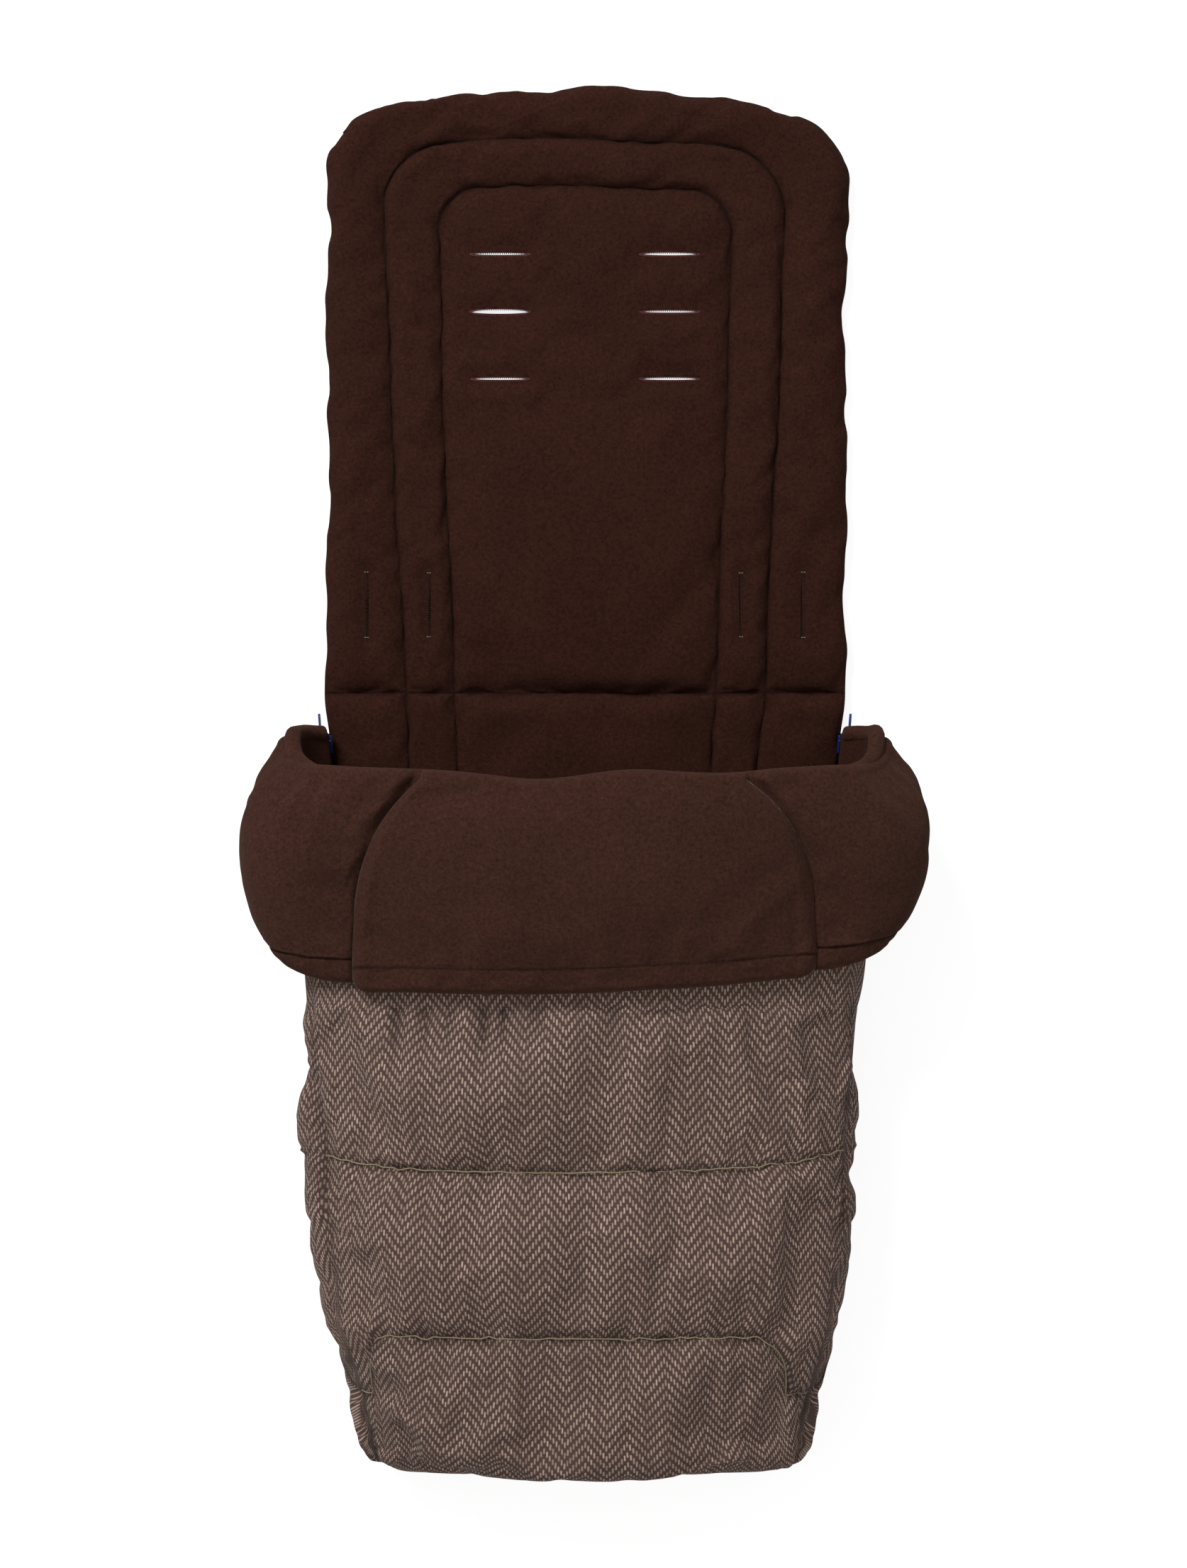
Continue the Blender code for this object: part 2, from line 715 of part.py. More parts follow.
def make_lining(parent):
    """Fleece lining of the whole apron, from zip to zip and round the toe."""
    columns = [("left", share) for share in GUSSET_COLUMN_SHARES]
    columns += [("top", share) for share in PANEL_COLUMN_SHARES]
    columns += [("right", share) for share in reversed(GUSSET_COLUMN_SHARES)]

    def place(column, station, depth):
        part, share = column
        if part == "top":
            return arch_point(panel_turn(share, station), station, depth)
        return arch_point(gusset_turn(share, station, 1 if part == "right" else -1), station, depth)

    def outer(column, station):
        return place(column, station, LINING_THICKNESS)

    def inner(column, station):
        return place(column, station, 0)

    closed_sheet("apron_lining", columns, apron_rows(), outer, inner, FLEECE, parent)


# Cuff


CUFF_BASE = FLAT_DEPTH + CUFF_SEAT_GAP


def cuff_half_width(y):
    """Half-width of the centre flap: it widens towards the hem, where its corners are round."""
    share = min(max((MOUTH_Y - y) / CUFF_DROP, 0), 1)
    half = mix(CUFF_HALF_WIDTH_RIM, CUFF_HALF_WIDTH_HEM, 1 - (1 - share) ** CUFF_FLARE_EXPONENT)
    to_hem = min((1 - share) * CUFF_DROP, CUFF_CORNER_RADIUS)
    rest = CUFF_CORNER_RADIUS - to_hem
    return half, CUFF_CORNER_RADIUS - math.sqrt(max(CUFF_CORNER_RADIUS**2 - rest**2, 0))


def turn_for(x, station, depth):
    """Turn at which the arch, at a depth, is x to the left of the middle line."""
    half = (zip_line_x(station) + CLEARANCE) / profile(TUCK_ANGLE)[0]
    share = min(x / (half + depth), 1)
    return turn_at(math.acos(share ** (ARCH_EXPONENT / 2)), station)


def make_cuff_piece(names, columns, rows, place, crown, parent):
    """Backing cloth, wadding and fleece of one piece of the cuff."""
    cloth_name, wadding_name, fleece_name = names

    def full(column, row):
        return CUFF_BASE + crown(column, row)

    def cloth_outer(column, row):
        return place(column, row, CUFF_BASE + CUFF_CLOTH_THICKNESS)

    def cloth_inner(column, row):
        return place(column, row, CUFF_BASE)

    def fleece_outer(column, row):
        return place(column, row, full(column, row))

    def fleece_inner(column, row):
        return place(column, row, full(column, row) - CUFF_FLEECE_THICKNESS)

    def wadding_outer(column, row):
        return place(column, row, full(column, row) - CUFF_FLEECE_THICKNESS - WADDING_GAP)

    def wadding_inner(column, row):
        return place(column, row, CUFF_BASE + CUFF_CLOTH_THICKNESS + CLEARANCE)

    closed_sheet(cloth_name, columns, rows, cloth_outer, cloth_inner, HERRINGBONE, parent)
    closed_sheet(fleece_name, columns, rows, fleece_outer, fleece_inner, FLEECE, parent)
    fill = (columns[1:-1], rows[1:-1])
    closed_sheet(wadding_name, *fill, wadding_outer, wadding_inner, WADDING, parent)


def make_cuff_centre(parent):
    def place(column, row, depth):
        station = mix(MOUTH_Y, HEM_Y, row)
        half, corner = cuff_half_width(station)
        x = (half - corner) * (1 - 2 * column)
        turn = turn_for(abs(x), station, depth)
        return arch_point(turn if x > 0 else 1 - turn, station, depth)

    def crown(column, row):
        return mix(CUFF_EDGE_DEPTH, CUFF_CENTRE_CROWN, arch_crest(column) * arch_crest(row))

    names = ("cuff_centre_backing", "cuff_centre_wadding", "cuff_centre_fleece")
    make_cuff_piece(names, list(CUFF_COLUMN_SHARES), list(CUFF_ROW_SHARES), place, crown, parent)


def wing_edge(row):
    """Place along the length and distance from the middle line of a wing's inner edge."""
    station = mix(MOUTH_Y, MOUTH_Y - CUFF_DROP * WING_DROP_SHARE, row)
    half = cuff_half_width(station)[0]
    return station, half + mix(CUFF_RIM_GAP, CUFF_GAP, min(row * WING_GAP_STEEPNESS, 1))


def make_cuff_wing(hand, side, parent):
    def place(column, row, depth):
        station, edge = wing_edge(row)
        outer_station = mix(MOUTH_Y, MOUTH_Y - CUFF_DROP * WING_SIDE_SHARE, row)
        low = turn_at(-WING_TUCK_ANGLE)
        high = turn_for(edge, station, depth)
        station = mix(station, outer_station, smooth(column))
        turn = mix(high, low, column)
        return arch_point(1 - turn if side > 0 else turn, station, depth)

    def crown(column, row):
        full = mix(CUFF_CENTRE_CROWN, CUFF_WING_CROWN, smooth(column / WING_FULL_SHARE))
        return mix(CUFF_EDGE_DEPTH, full, arch_crest(column) * arch_crest(row))

    names = (f"cuff_backing_{hand}", f"cuff_wadding_{hand}", f"cuff_wing_{hand}")
    make_cuff_piece(names, list(WING_COLUMN_SHARES), list(CUFF_ROW_SHARES), place, crown, parent)


# Zips


OUTLINE_TO_ZIP = Matrix(((0, 0, 1, 0), (1, 0, 0, 0), (0, 1, 0, 0), (0, 0, 0, 1)))
ZIP_SLOPE = (SEAT_HALF_WIDTH_MOUTH - SEAT_HALF_WIDTH_FOOT) / (ZIP_TOP_Y - SEAT_END_Y)
LINER_SPINE = LINER_TAPE_TOP + CLEARANCE
LINER_TOOTH_TIP = LINER_SPINE + TOOTH_SPINE + TOOTH_DEPTH
APRON_SPINE = APRON_TAPE_BOTTOM - CLEARANCE
ZIP_MIDDLE = (LINER_TOOTH_TIP + APRON_SPINE - TOOTH_SPINE - TOOTH_DEPTH) / 2


def zip_frame(side):
    """Frame at the zip's mouth end: X outward across it, Y along it towards the head."""
    x = side * (zip_line_x(ZIP_TOP_Y) + CLEARANCE + TAPE_THICKNESS / 2)
    turn = -side * math.atan(ZIP_SLOPE)
    return Matrix.Translation((x, ZIP_TOP_Y, 0)) @ Matrix.Rotation(turn, 4, "Z")


def strip(start, end, low, high):
    return [(start, low), (end, low), (end, high), (start, high)]


def comb(offset, spine, direction):
    """Outline of a row of teeth: a spine with a tapered tooth in every pitch."""
    count = int((ZIP_LENGTH - offset - TOOTH_ROOT_WIDTH) / TOOTH_PITCH)
    root = spine + direction * TOOTH_SPINE
    tip = root + direction * TOOTH_DEPTH
    points = []
    for number in range(count):
        middle = -offset - TOOTH_ROOT_WIDTH / 2 - number * TOOTH_PITCH
        points.append((middle + TOOTH_ROOT_WIDTH / 2, root))
        points.append((middle + TOOTH_TIP_WIDTH / 2, tip))
        points.append((middle - TOOTH_TIP_WIDTH / 2, tip))
        points.append((middle - TOOTH_ROOT_WIDTH / 2, root))
    points.append((points[-1][0], spine))
    points.append((points[0][0], spine))
    return points


def make_zip(hand, side, liner, apron):
    """Tape, teeth and stops of one side zip, on the liner and on the apron."""
    frame = zip_frame(side) @ OUTLINE_TO_ZIP
    top_reach = STOP_LENGTH + CLEARANCE
    foot_reach = -ZIP_LENGTH - STOP_LENGTH - CLEARANCE
    tape = strip(foot_reach, top_reach, TAPE_FOOT_HEIGHT, LINER_TAPE_TOP)
    outline_solid(f"zip_tape_liner_{hand}", [tape], TAPE_THICKNESS / 2, frame, ZIP_TAPE, liner)
    teeth = comb(0, LINER_SPINE, 1)
    outline_solid(f"zip_teeth_liner_{hand}", [teeth], TEETH_HALF_THICKNESS, frame, ZIP_TEETH, liner)
    stop = strip(CLEARANCE, top_reach, LINER_SPINE, LINER_TOOTH_TIP)
    outline_solid(f"zip_top_stop_{hand}", [stop], TEETH_HALF_THICKNESS, frame, ZIP_METAL, liner)
    stop = strip(foot_reach, -ZIP_LENGTH - CLEARANCE, LINER_SPINE, APRON_SPINE)
    stop_half = TEETH_HALF_THICKNESS + SLIDER_SIDE_CLEARANCE + SLIDER_PLATE
    outline_solid(f"zip_bottom_stop_{hand}", [stop], stop_half, frame, ZIP_METAL, liner)
    tape = strip(-ZIP_LENGTH, 0, APRON_TAPE_BOTTOM, ZIP_BAND_HEIGHT - CLEARANCE)
    outline_solid(f"zip_tape_apron_{hand}", [tape], TAPE_THICKNESS / 2, frame, ZIP_TAPE, apron)
    teeth = comb(TOOTH_PITCH / 2, APRON_SPINE, -1)
    outline_solid(f"zip_teeth_apron_{hand}", [teeth], TEETH_HALF_THICKNESS, frame, ZIP_TEETH, apron)


SLIDER_TOP = CLEARANCE + SLIDER_BRIDGE + SLIDER_BRIDGE / 2
SLIDER_MIDDLE = SLIDER_TOP - SLIDER_LENGTH / 2
PLATE_INSIDE = TEETH_HALF_THICKNESS + SLIDER_SIDE_CLEARANCE
PLATE_OUTSIDE = PLATE_INSIDE + SLIDER_PLATE
TAB_AXIS_X = PLATE_OUTSIDE + 2 * TAB_BAR_HALF


def place_of(side, x, along, height):
    return zip_frame(side) @ Vector((side * x, along, height))


def unite(thing, extra, name):
    cutter = add_cutter(name, extra)
    boolean = thing.modifiers.new(name, "BOOLEAN")
    boolean.operation = "UNION"
    boolean.solver = "EXACT"
    boolean.object = cutter


def make_slider(hand, side, pivot):
    """Two plates joined by a bridge at the mouth end, with a crown that holds the pull."""
    half = (APRON_SPINE - LINER_SPINE) / 2
    middle = (APRON_SPINE + LINER_SPINE) / 2
    narrow = half * SLIDER_NARROW_SHARE
    foot = SLIDER_TOP - SLIDER_LENGTH
    plate = [(foot, middle - narrow), (SLIDER_TOP, middle - half)]
    plate += [(SLIDER_TOP, middle + half), (foot, middle + narrow)]
    frame = zip_frame(side) @ OUTLINE_TO_ZIP
    slider = outline_solid(f"zip_slider_{hand}", [plate], PLATE_OUTSIDE, frame, ZIP_METAL, pivot)
    low = middle - half - OVERRUN
    bridge = SLIDER_TOP - SLIDER_BRIDGE
    gate = LINER_TOOTH_TIP + CLEARANCE
    throat = [(foot - OVERRUN, low), (SLIDER_TOP + OVERRUN, low), (SLIDER_TOP + OVERRUN, gate)]
    throat += [(bridge, gate), (bridge, middle + half + OVERRUN), (foot - OVERRUN, middle + half + OVERRUN)]
    data = outline_solid(f"slider_throat_{hand}", [throat], PLATE_INSIDE, frame, None)
    cut(slider, add_cutter(f"slider_throat_{hand}", data))
    root = side * (PLATE_OUTSIDE - SLIDER_PLATE / 2)
    under = side * (PLATE_OUTSIDE + CROWN_DEPTH)
    face = side * (PLATE_OUTSIDE + CROWN_DEPTH + CROWN_WALL)
    leg = CROWN_HALF_LENGTH + CROWN_WALL
    crown = [(root, -leg), (face, -leg), (face, leg), (root, leg), (root, CROWN_HALF_LENGTH)]
    crown += [(under, CROWN_HALF_LENGTH), (under, -CROWN_HALF_LENGTH), (root, -CROWN_HALF_LENGTH)]
    crown_frame = zip_frame(side) @ Matrix.Translation((0, SLIDER_MIDDLE, ZIP_MIDDLE))
    data = outline_solid(f"slider_crown_{hand}", [crown], CROWN_HALF_HEIGHT, crown_frame, None)
    unite(slider, data, f"slider_crown_{hand}")


def make_pull_tab(hand, side, pivot):
    """A flat tab with a window at its root, whose end bar turns inside the slider's crown."""
    reach = TAB_LENGTH - TAB_TIP_RADIUS
    tip = arc((reach, TAB_HALF_HEIGHT - TAB_TIP_RADIUS), TAB_TIP_RADIUS, 90, 0, TAB_TIP_STEPS)
    tip += arc((reach, TAB_TIP_RADIUS - TAB_HALF_HEIGHT), TAB_TIP_RADIUS, 0, -90, TAB_TIP_STEPS)
    blade = [(-TAB_BAR_HALF, -TAB_HALF_HEIGHT), (-TAB_BAR_HALF, TAB_HALF_HEIGHT)] + tip
    window = strip(TAB_BAR_HALF, TAB_WINDOW_LENGTH, -TAB_WINDOW_HALF_HEIGHT, TAB_WINDOW_HALF_HEIGHT)
    frame = zip_frame(side) @ Matrix.Translation((side * TAB_AXIS_X, SLIDER_MIDDLE, ZIP_MIDDLE))
    frame = frame @ OUTLINE_TO_ZIP
    outline_solid(f"zip_pull_{hand}", [blade, window], TAB_BAR_HALF, frame, ZIP_METAL, pivot)


# Assembly


def make_pouch(parent):
    make_lining(parent)
    panels = (
        ("upper", MOUTH_Y, SEAM_ONE_Y, PUFF_START_Y),
        ("middle", SEAM_ONE_Y, SEAM_TWO_Y, SEAM_ONE_Y),
        ("toe", SEAM_TWO_Y, TOE_INSIDE_Y, SEAM_TWO_Y),
    )
    for label, start, end, puff_start in panels:
        make_panel((f"{label}_panel", f"{label}_panel_wadding"), start, end, puff_start, parent)


def rim_place(side, turn):
    """A point on the fold line of the cuff, along the rim of the mouth."""
    return arch_point(1 - turn if side > 0 else turn, MOUTH_Y, CUFF_BASE)


def make_side(hand, side, seat_pivot, apron_pivot):
    """Everything that comes once for each side of the footmuff."""
    make_gusset(hand, side, apron_pivot)
    make_zip(hand, side, seat_pivot, apron_pivot)
    fold_start = rim_place(side, turn_for(CUFF_HALF_WIDTH_RIM + CUFF_RIM_GAP, MOUTH_Y, CUFF_BASE))
    fold_end = rim_place(side, turn_at(-WING_TUCK_ANGLE))
    make_cuff_wing(hand, side, add_pivot(f"cuff_wing_axis_{hand}", fold_start))
    slider_place = place_of(side, 0, SLIDER_MIDDLE, ZIP_MIDDLE)
    make_slider(hand, side, add_pivot(f"zip_slide_axis_{hand}", slider_place))
    tab_place = place_of(side, TAB_AXIS_X, SLIDER_MIDDLE, ZIP_MIDDLE)
    make_pull_tab(hand, side, add_pivot(f"zip_pull_axis_{hand}", tab_place))
    print("wing axis", hand, tuple(fold_start), tuple((fold_end - fold_start).normalized()))


def make_footmuff():
    seat_pivot = add_pivot("seat_frame", (0, 0, 0))
    back_pivot = add_pivot("back_fold_axis", (0, CREASE_Y, PAD_SEAM_HEIGHT))
    apron_pivot = add_pivot("apron_open_axis", (0, SEAT_END_Y, FOLD_HEIGHT))
    make_liner(SEAT, "seat", SEAT_ROW_SHARES, seat_pivot)
    make_slots(make_liner(BACK, "back", BACK_ROW_SHARES, back_pivot), back_pivot)
    make_pouch(apron_pivot)
    fold = rim_place(-1, turn_for(CUFF_HALF_WIDTH_RIM, MOUTH_Y, CUFF_BASE))
    make_cuff_centre(add_pivot("cuff_unfold_axis", (0, MOUTH_Y, fold.z)))
    for hand, side in (("left", -1), ("right", 1)):
        make_side(hand, side, seat_pivot, apron_pivot)


make_footmuff()
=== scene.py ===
# %% [markdown]
# # A stroller footmuff, lying open on its back
#
# The frame comes from the CAD model. This script dresses it: the soft pieces are sewn, filled and
# creased here, and each replaces the plain solid that stands for it. Everything is in metres, head
# end towards +Y, and +Z points up out of the liner.

import math
from functools import partial

import bmesh
import bpy
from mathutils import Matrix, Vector, noise
from mathutils.bvhtree import BVHTree


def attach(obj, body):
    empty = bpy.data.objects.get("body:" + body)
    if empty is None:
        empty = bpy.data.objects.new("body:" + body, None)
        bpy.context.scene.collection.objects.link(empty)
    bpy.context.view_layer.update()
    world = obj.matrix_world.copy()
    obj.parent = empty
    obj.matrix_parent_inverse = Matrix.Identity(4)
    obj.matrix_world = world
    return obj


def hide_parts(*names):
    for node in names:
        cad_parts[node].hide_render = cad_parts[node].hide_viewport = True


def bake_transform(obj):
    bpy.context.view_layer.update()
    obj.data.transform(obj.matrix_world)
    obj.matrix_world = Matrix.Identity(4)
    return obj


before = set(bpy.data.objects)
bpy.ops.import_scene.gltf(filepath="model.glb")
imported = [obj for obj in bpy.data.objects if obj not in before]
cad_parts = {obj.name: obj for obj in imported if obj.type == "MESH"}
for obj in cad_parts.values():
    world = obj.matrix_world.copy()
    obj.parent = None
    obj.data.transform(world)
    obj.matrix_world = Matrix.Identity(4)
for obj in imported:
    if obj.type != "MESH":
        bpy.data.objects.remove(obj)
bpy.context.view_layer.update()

# %% [markdown]
# The sizes below are those of the CAD model, so that each soft piece lies in the space of the solid
# that it replaces.

# %% Sizes shared with the CAD model
HEAD_Y = 0.467
CREASE_Y = 0.0615
MOUTH_Y = 0.003
CUFF_DROP = 0.139
HEM_Y = MOUTH_Y - CUFF_DROP
PUFF_START_Y = HEM_Y - 0.008
SEAM_ONE_Y = -0.2470
SEAM_TWO_Y = -0.359
TOE_LENGTH = 0.100
TOE_INSIDE_Y = SEAM_TWO_Y - TOE_LENGTH
SEAT_END_Y = -0.4587
ZIP_TOP_Y = 0.029
ZIP_END_Y = -0.355
SEAT_HALF_MOUTH = 0.1720
SEAT_HALF_FOOT = 0.1353
FOOT_CORNER = 0.022
TUCK = math.radians(27.5)
PANEL_EDGE_ANGLE = math.radians(12)
ARCH_EXPONENT = 2.4
ARCH_SHOULDER = 0.035
RIM_RAKE = 0.034
RIM_FADE = 0.120
ZIP_BAND_HEIGHT = 0.0303
FOLD_HEIGHT = 0.0103
FOLD_BELOW_ZIP = 0.0045
FOLD_RUN = 0.040
MOUTH_INSIDE_Z = 0.123
SEAM_ONE_INSIDE_Z = 0.101
SEAM_TWO_INSIDE_Z = 0.090
TOE_POWER = 2.5
FLAT_DEPTH = 0.0080
SEAM_DEPTH = 0.0050
CLEARANCE = 0.0003

# %% [markdown]
# The pouch is an arch that stands on the zips. One function gives any point of it from a turn (0 at
# the left zip, 1 at the right one), a station along the length and a depth outside the lining.

# %% Shares, curves and ripples
def clamp(share):
    return min(max(share, 0), 1)


def mix(first, second, share):
    return first + (second - first) * share


def smooth(share):
    share = clamp(share)
    return share * share * (3 - 2 * share)


def ramp(value, start, run):
    """0 up to the start, 1 past the run, and smooth between them."""
    return smooth((value - start) / run)


def crest(share, sharpness=3):
    """0 at both ends and 1 in the middle, the flatter on top the sharper."""
    return 1 - abs(2 * share - 1) ** sharpness


def bell(distance, width):
    return math.exp(-((distance / width) ** 2))


def spread(start, end, count):
    return [mix(start, end, step / count) for step in range(count + 1)]


def stretches(*parts):
    """Numbers in a row, from stretches that each have a start, an end and a count of steps."""
    numbers = [parts[0][0]]
    for start, end, count in parts:
        numbers += spread(start, end, count)[1:]
    return numbers


def ripple(wave, x, y):
    """Unevenness over a plane, from a wave's size, its noise cells in a metre and its seed."""
    size, cells, seed = wave
    return size * noise.noise(Vector((x * cells, y * cells, seed)))


def line_ripple(wave, x):
    """Unevenness along a line, from a wave's size, its noise cells in a unit and its seed."""
    size, cells, seed = wave
    return size * noise.noise(Vector((x * cells, seed, 0)))


def ripple_at(wave, place):
    """Unevenness in space, from a wave's size and its noise cells in a metre."""
    size, cells = wave
    return size * noise.noise(place * cells)


# %% The arch of the pouch
def profile(angle):
    across = math.copysign(abs(math.cos(angle)) ** (2 / ARCH_EXPONENT), math.cos(angle))
    up = math.copysign(abs(math.sin(angle)) ** (2 / ARCH_EXPONENT), math.sin(angle))
    return across, up


def zip_line_x(y):
    share = (ZIP_TOP_Y - y) / (ZIP_TOP_Y - SEAT_END_Y)
    return mix(SEAT_HALF_MOUTH, SEAT_HALF_FOOT, share)


def inside_height(y):
    if y > SEAM_ONE_Y:
        return mix(MOUTH_INSIDE_Z, SEAM_ONE_INSIDE_Z, smooth((MOUTH_Y - y) / (MOUTH_Y - SEAM_ONE_Y)))
    share = min((SEAM_ONE_Y - y) / (SEAM_ONE_Y - SEAM_TWO_Y), 1)
    return mix(SEAM_ONE_INSIDE_Z, SEAM_TWO_INSIDE_Z, share)


def toe_share(y):
    return min(max(SEAM_TWO_Y - y, 0) / TOE_LENGTH, 1)


def corner_inset(toe):
    past = max((toe - 1) * TOE_LENGTH + FOOT_CORNER, 0)
    return FOOT_CORNER - math.sqrt(max(FOOT_CORNER**2 - past**2, 0))


def bottom_height(y):
    share = smooth((ZIP_END_Y - FOLD_BELOW_ZIP - y) / FOLD_RUN)
    return mix(ZIP_BAND_HEIGHT, FOLD_HEIGHT, share)


def arch_point(turn, station, depth):
    """A point of the arch; beyond the lower cross seam the arch closes to the toe."""
    toe = toe_share(station)
    tuck = TUCK * (1 - toe)
    angle = math.pi + tuck - turn * (math.pi + 2 * tuck)
    across, up = profile(angle)
    bottom = bottom_height(station)
    half = (zip_line_x(station) + CLEARANCE) / profile(tuck)[0]
    height = inside_height(station)
    middle = bottom + ARCH_SHOULDER
    if up >= 0:
        z = middle + (height - middle + depth) * up
    else:
        z = middle + ARCH_SHOULDER * up / -profile(-TUCK)[1]
    if toe > 0:
        fall = max(1 - toe**TOE_POWER, 0) ** (1 / TOE_POWER)
        if tuck > 0 and up < 0:
            z = max(z, bottom)
        z = bottom + (z - bottom) * fall
        half -= corner_inset(toe)
        station -= depth * toe
    else:
        rise = clamp(up)
        fade = smooth((station - MOUTH_Y + RIM_FADE) / RIM_FADE)
        station += RIM_RAKE * (1 - rise) ** 2 * fade
    return Vector((across * (half + depth), station, z))


def turn_at(angle, station=0.0):
    """The turn at an angle above the widest point of the left side."""
    tuck = TUCK * (1 - toe_share(station))
    return (tuck + angle) / (math.pi + 2 * tuck)


# %% [markdown]
# Sheets are made from a grid, laid out by a function, and closed by extruding it. The outer side and
# the inner side each follow their own function.

# %% Building closed sheets
def place_object(name, data):
    thing = bpy.data.objects.new(name, data)
    bpy.context.scene.collection.objects.link(thing)
    return thing


def mesh_object(name, shape):
    """A new object from a bmesh, which is freed."""
    data = bpy.data.meshes.new(name)
    shape.to_mesh(data)
    shape.free()
    return place_object(name, data)


def grid_index(vert, across, along):
    """Column and row of a grid's vertex, counted from its upper left corner."""
    return round((vert.co.x + 1) * across / 2), round((1 - vert.co.y) * along / 2)


def face_outwards(shape):
    bmesh.ops.recalc_face_normals(shape, faces=shape.faces[:])
    if shape.calc_volume(signed=True) < 0:
        bmesh.ops.reverse_faces(shape, faces=shape.faces[:])


def grid_object(name, columns, rows, outer, inner=None, uv=None, lining=0):
    """A grid of columns by rows, laid out by outer and closed by inner when it is given.

    The faces that inner lays out take the material slot with the number in lining.
    """
    across = len(columns) - 1
    along = len(rows) - 1
    sheet = bmesh.new()
    bmesh.ops.create_grid(sheet, x_segments=across, y_segments=along, size=1, calc_uvs=False)
    layer = sheet.loops.layers.uv.new("cloth")
    index = {vert: grid_index(vert, across, along) for vert in sheet.verts}
    if uv is not None:
        for face in sheet.faces:
            for loop in face.loops:
                loop[layer].uv = uv(*index[loop.vert])
    if inner is not None:
        raised = bmesh.ops.extrude_face_region(sheet, geom=sheet.faces[:])
        tops = {part for part in raised["geom"] if isinstance(part, bmesh.types.BMVert)}
    else:
        tops = set(sheet.verts)
    for face in sheet.faces:
        if not all(vert in tops for vert in face.verts):
            face.material_index = lining
    for vert in sheet.verts:
        place = outer if vert in tops else inner
        vert.co = place(*grid_index(vert, across, along))
    if inner is not None:
        face_outwards(sheet)
    thing = mesh_object(name, sheet)
    thing.data.shade_smooth()
    return thing


def place_key(place):
    """A place as a key that survives the rounding of a mesh."""
    return tuple(round(value, 6) for value in place)


def add_seam_shade(thing, values):
    """Store how close each vertex is to a seam, for the material to paint shade into the seam's bottom."""
    layer = thing.data.attributes.new("crease", "FLOAT", "POINT")
    for slot, value in zip(layer.data, values):
        slot.value = value


# %% [markdown]
# Cloth that is cut a little larger than the space between its seams puckers beside them when it is
# filled. A short cloth simulation gives just that: the seams are pinned, the cloth is let out by a few
# per cent, and air presses from inside.

# %% Filling cloth with air
CLOTH = {
    "quality": 4, "mass": 0.15, "tension_stiffness": 25, "compression_stiffness": 25,
    "shear_stiffness": 5, "bending_stiffness": 0.2, "air_damping": 4, "use_pressure": True,
}


def fill_with_air(thing, pins, pressure, slack, frames, cap):
    """Run the cloth simulation and return the new place of each vertex, moved at most by cap."""
    start = [vert.co.copy() for vert in thing.data.vertices]
    group = thing.vertex_groups.new(name="pins")
    group.add(list(pins), 1, "REPLACE")
    cloth = thing.modifiers.new("cloth", "CLOTH")
    settings = cloth.settings
    for label, value in CLOTH.items():
        setattr(settings, label, value)
    settings.vertex_group_mass = group.name
    settings.shrink_min = -slack
    settings.uniform_pressure_force = pressure
    settings.effector_weights.gravity = 0
    cloth.point_cache.frame_start = 1
    cloth.point_cache.frame_end = frames
    for step in range(1, frames + 1):
        bpy.context.scene.frame_set(step)
    evaluated = thing.evaluated_get(bpy.context.evaluated_depsgraph_get())
    places = [vert.co.copy() for vert in evaluated.data.vertices]
    thing.modifiers.remove(cloth)
    thing.vertex_groups.remove(group)
    bpy.context.scene.frame_set(1)
    capped = []
    for before, after in zip(start, places):
        travel = after - before
        if travel.length > cap:
            travel *= cap / travel.length
        capped.append(before + travel)
    return capped


# %% [markdown]
# Colours and weaves. Fleece is a knit with a brushed, matt nap: a fine speckle, a slow drift of tone
# where the nap lies one way or the other, and a soft sheen at a grazing angle.

# %% Node helpers
def feed(tree, node, values):
    """Give a node's inputs their values: the output of another node is linked, all else is stored."""
    for label, value in values.items():
        if isinstance(value, bpy.types.NodeSocket):
            tree.links.new(value, node.inputs[label])
        else:
            node.inputs[label].default_value = value


def new_node(tree, kind, values, **settings):
    """A shader node with its settings and then its inputs."""
    node = tree.nodes.new("ShaderNode" + kind)
    for label, value in settings.items():
        setattr(node, label, value)
    feed(tree, node, values)
    return node


def new_group(name, *colours):
    """A group of nodes that turns a place and some colours into one colour and a height."""
    group = bpy.data.node_groups.new(name, "ShaderNodeTree")
    sockets = [("Vector", "INPUT", "Vector")] + [(colour, "INPUT", "Color") for colour in colours]
    for label, side, kind in sockets + [("Colour", "OUTPUT", "Color"), ("Height", "OUTPUT", "Float")]:
        group.interface.new_socket(label, in_out=side, socket_type="NodeSocket" + kind)
    return group, group.nodes.new("NodeGroupInput"), group.nodes.new("NodeGroupOutput")


def math_node(tree, operation, *values):
    return new_node(tree, "Math", dict(enumerate(values)), operation=operation).outputs[0]


def noise_node(tree, vector, scale, detail=2.0, roughness=0.5):
    values = {"Vector": vector, "Scale": scale, "Detail": detail, "Roughness": roughness}
    return new_node(tree, "TexNoise", values).outputs["Fac"]


def blend_colour(tree, share, first, second):
    values = {"Factor": share, "A": first, "B": second}
    return new_node(tree, "Mix", values, data_type="RGBA").outputs["Result"]


def range_node(tree, value, span, result=(0, 1)):
    """Bring a value from one span of numbers to another one."""
    ends = {"From Min": span[0], "From Max": span[1], "To Min": result[0], "To Max": result[1]}
    return new_node(tree, "MapRange", {"Value": value, **ends}).outputs["Result"]


# %% Helpers for materials
def darker(colour, share):
    return tuple(value * share for value in colour[:3]) + (1,)


def new_material(name):
    material = bpy.data.materials.new(name)
    material.use_nodes = True
    tree = material.node_tree
    return material, tree, tree.nodes["Principled BSDF"]


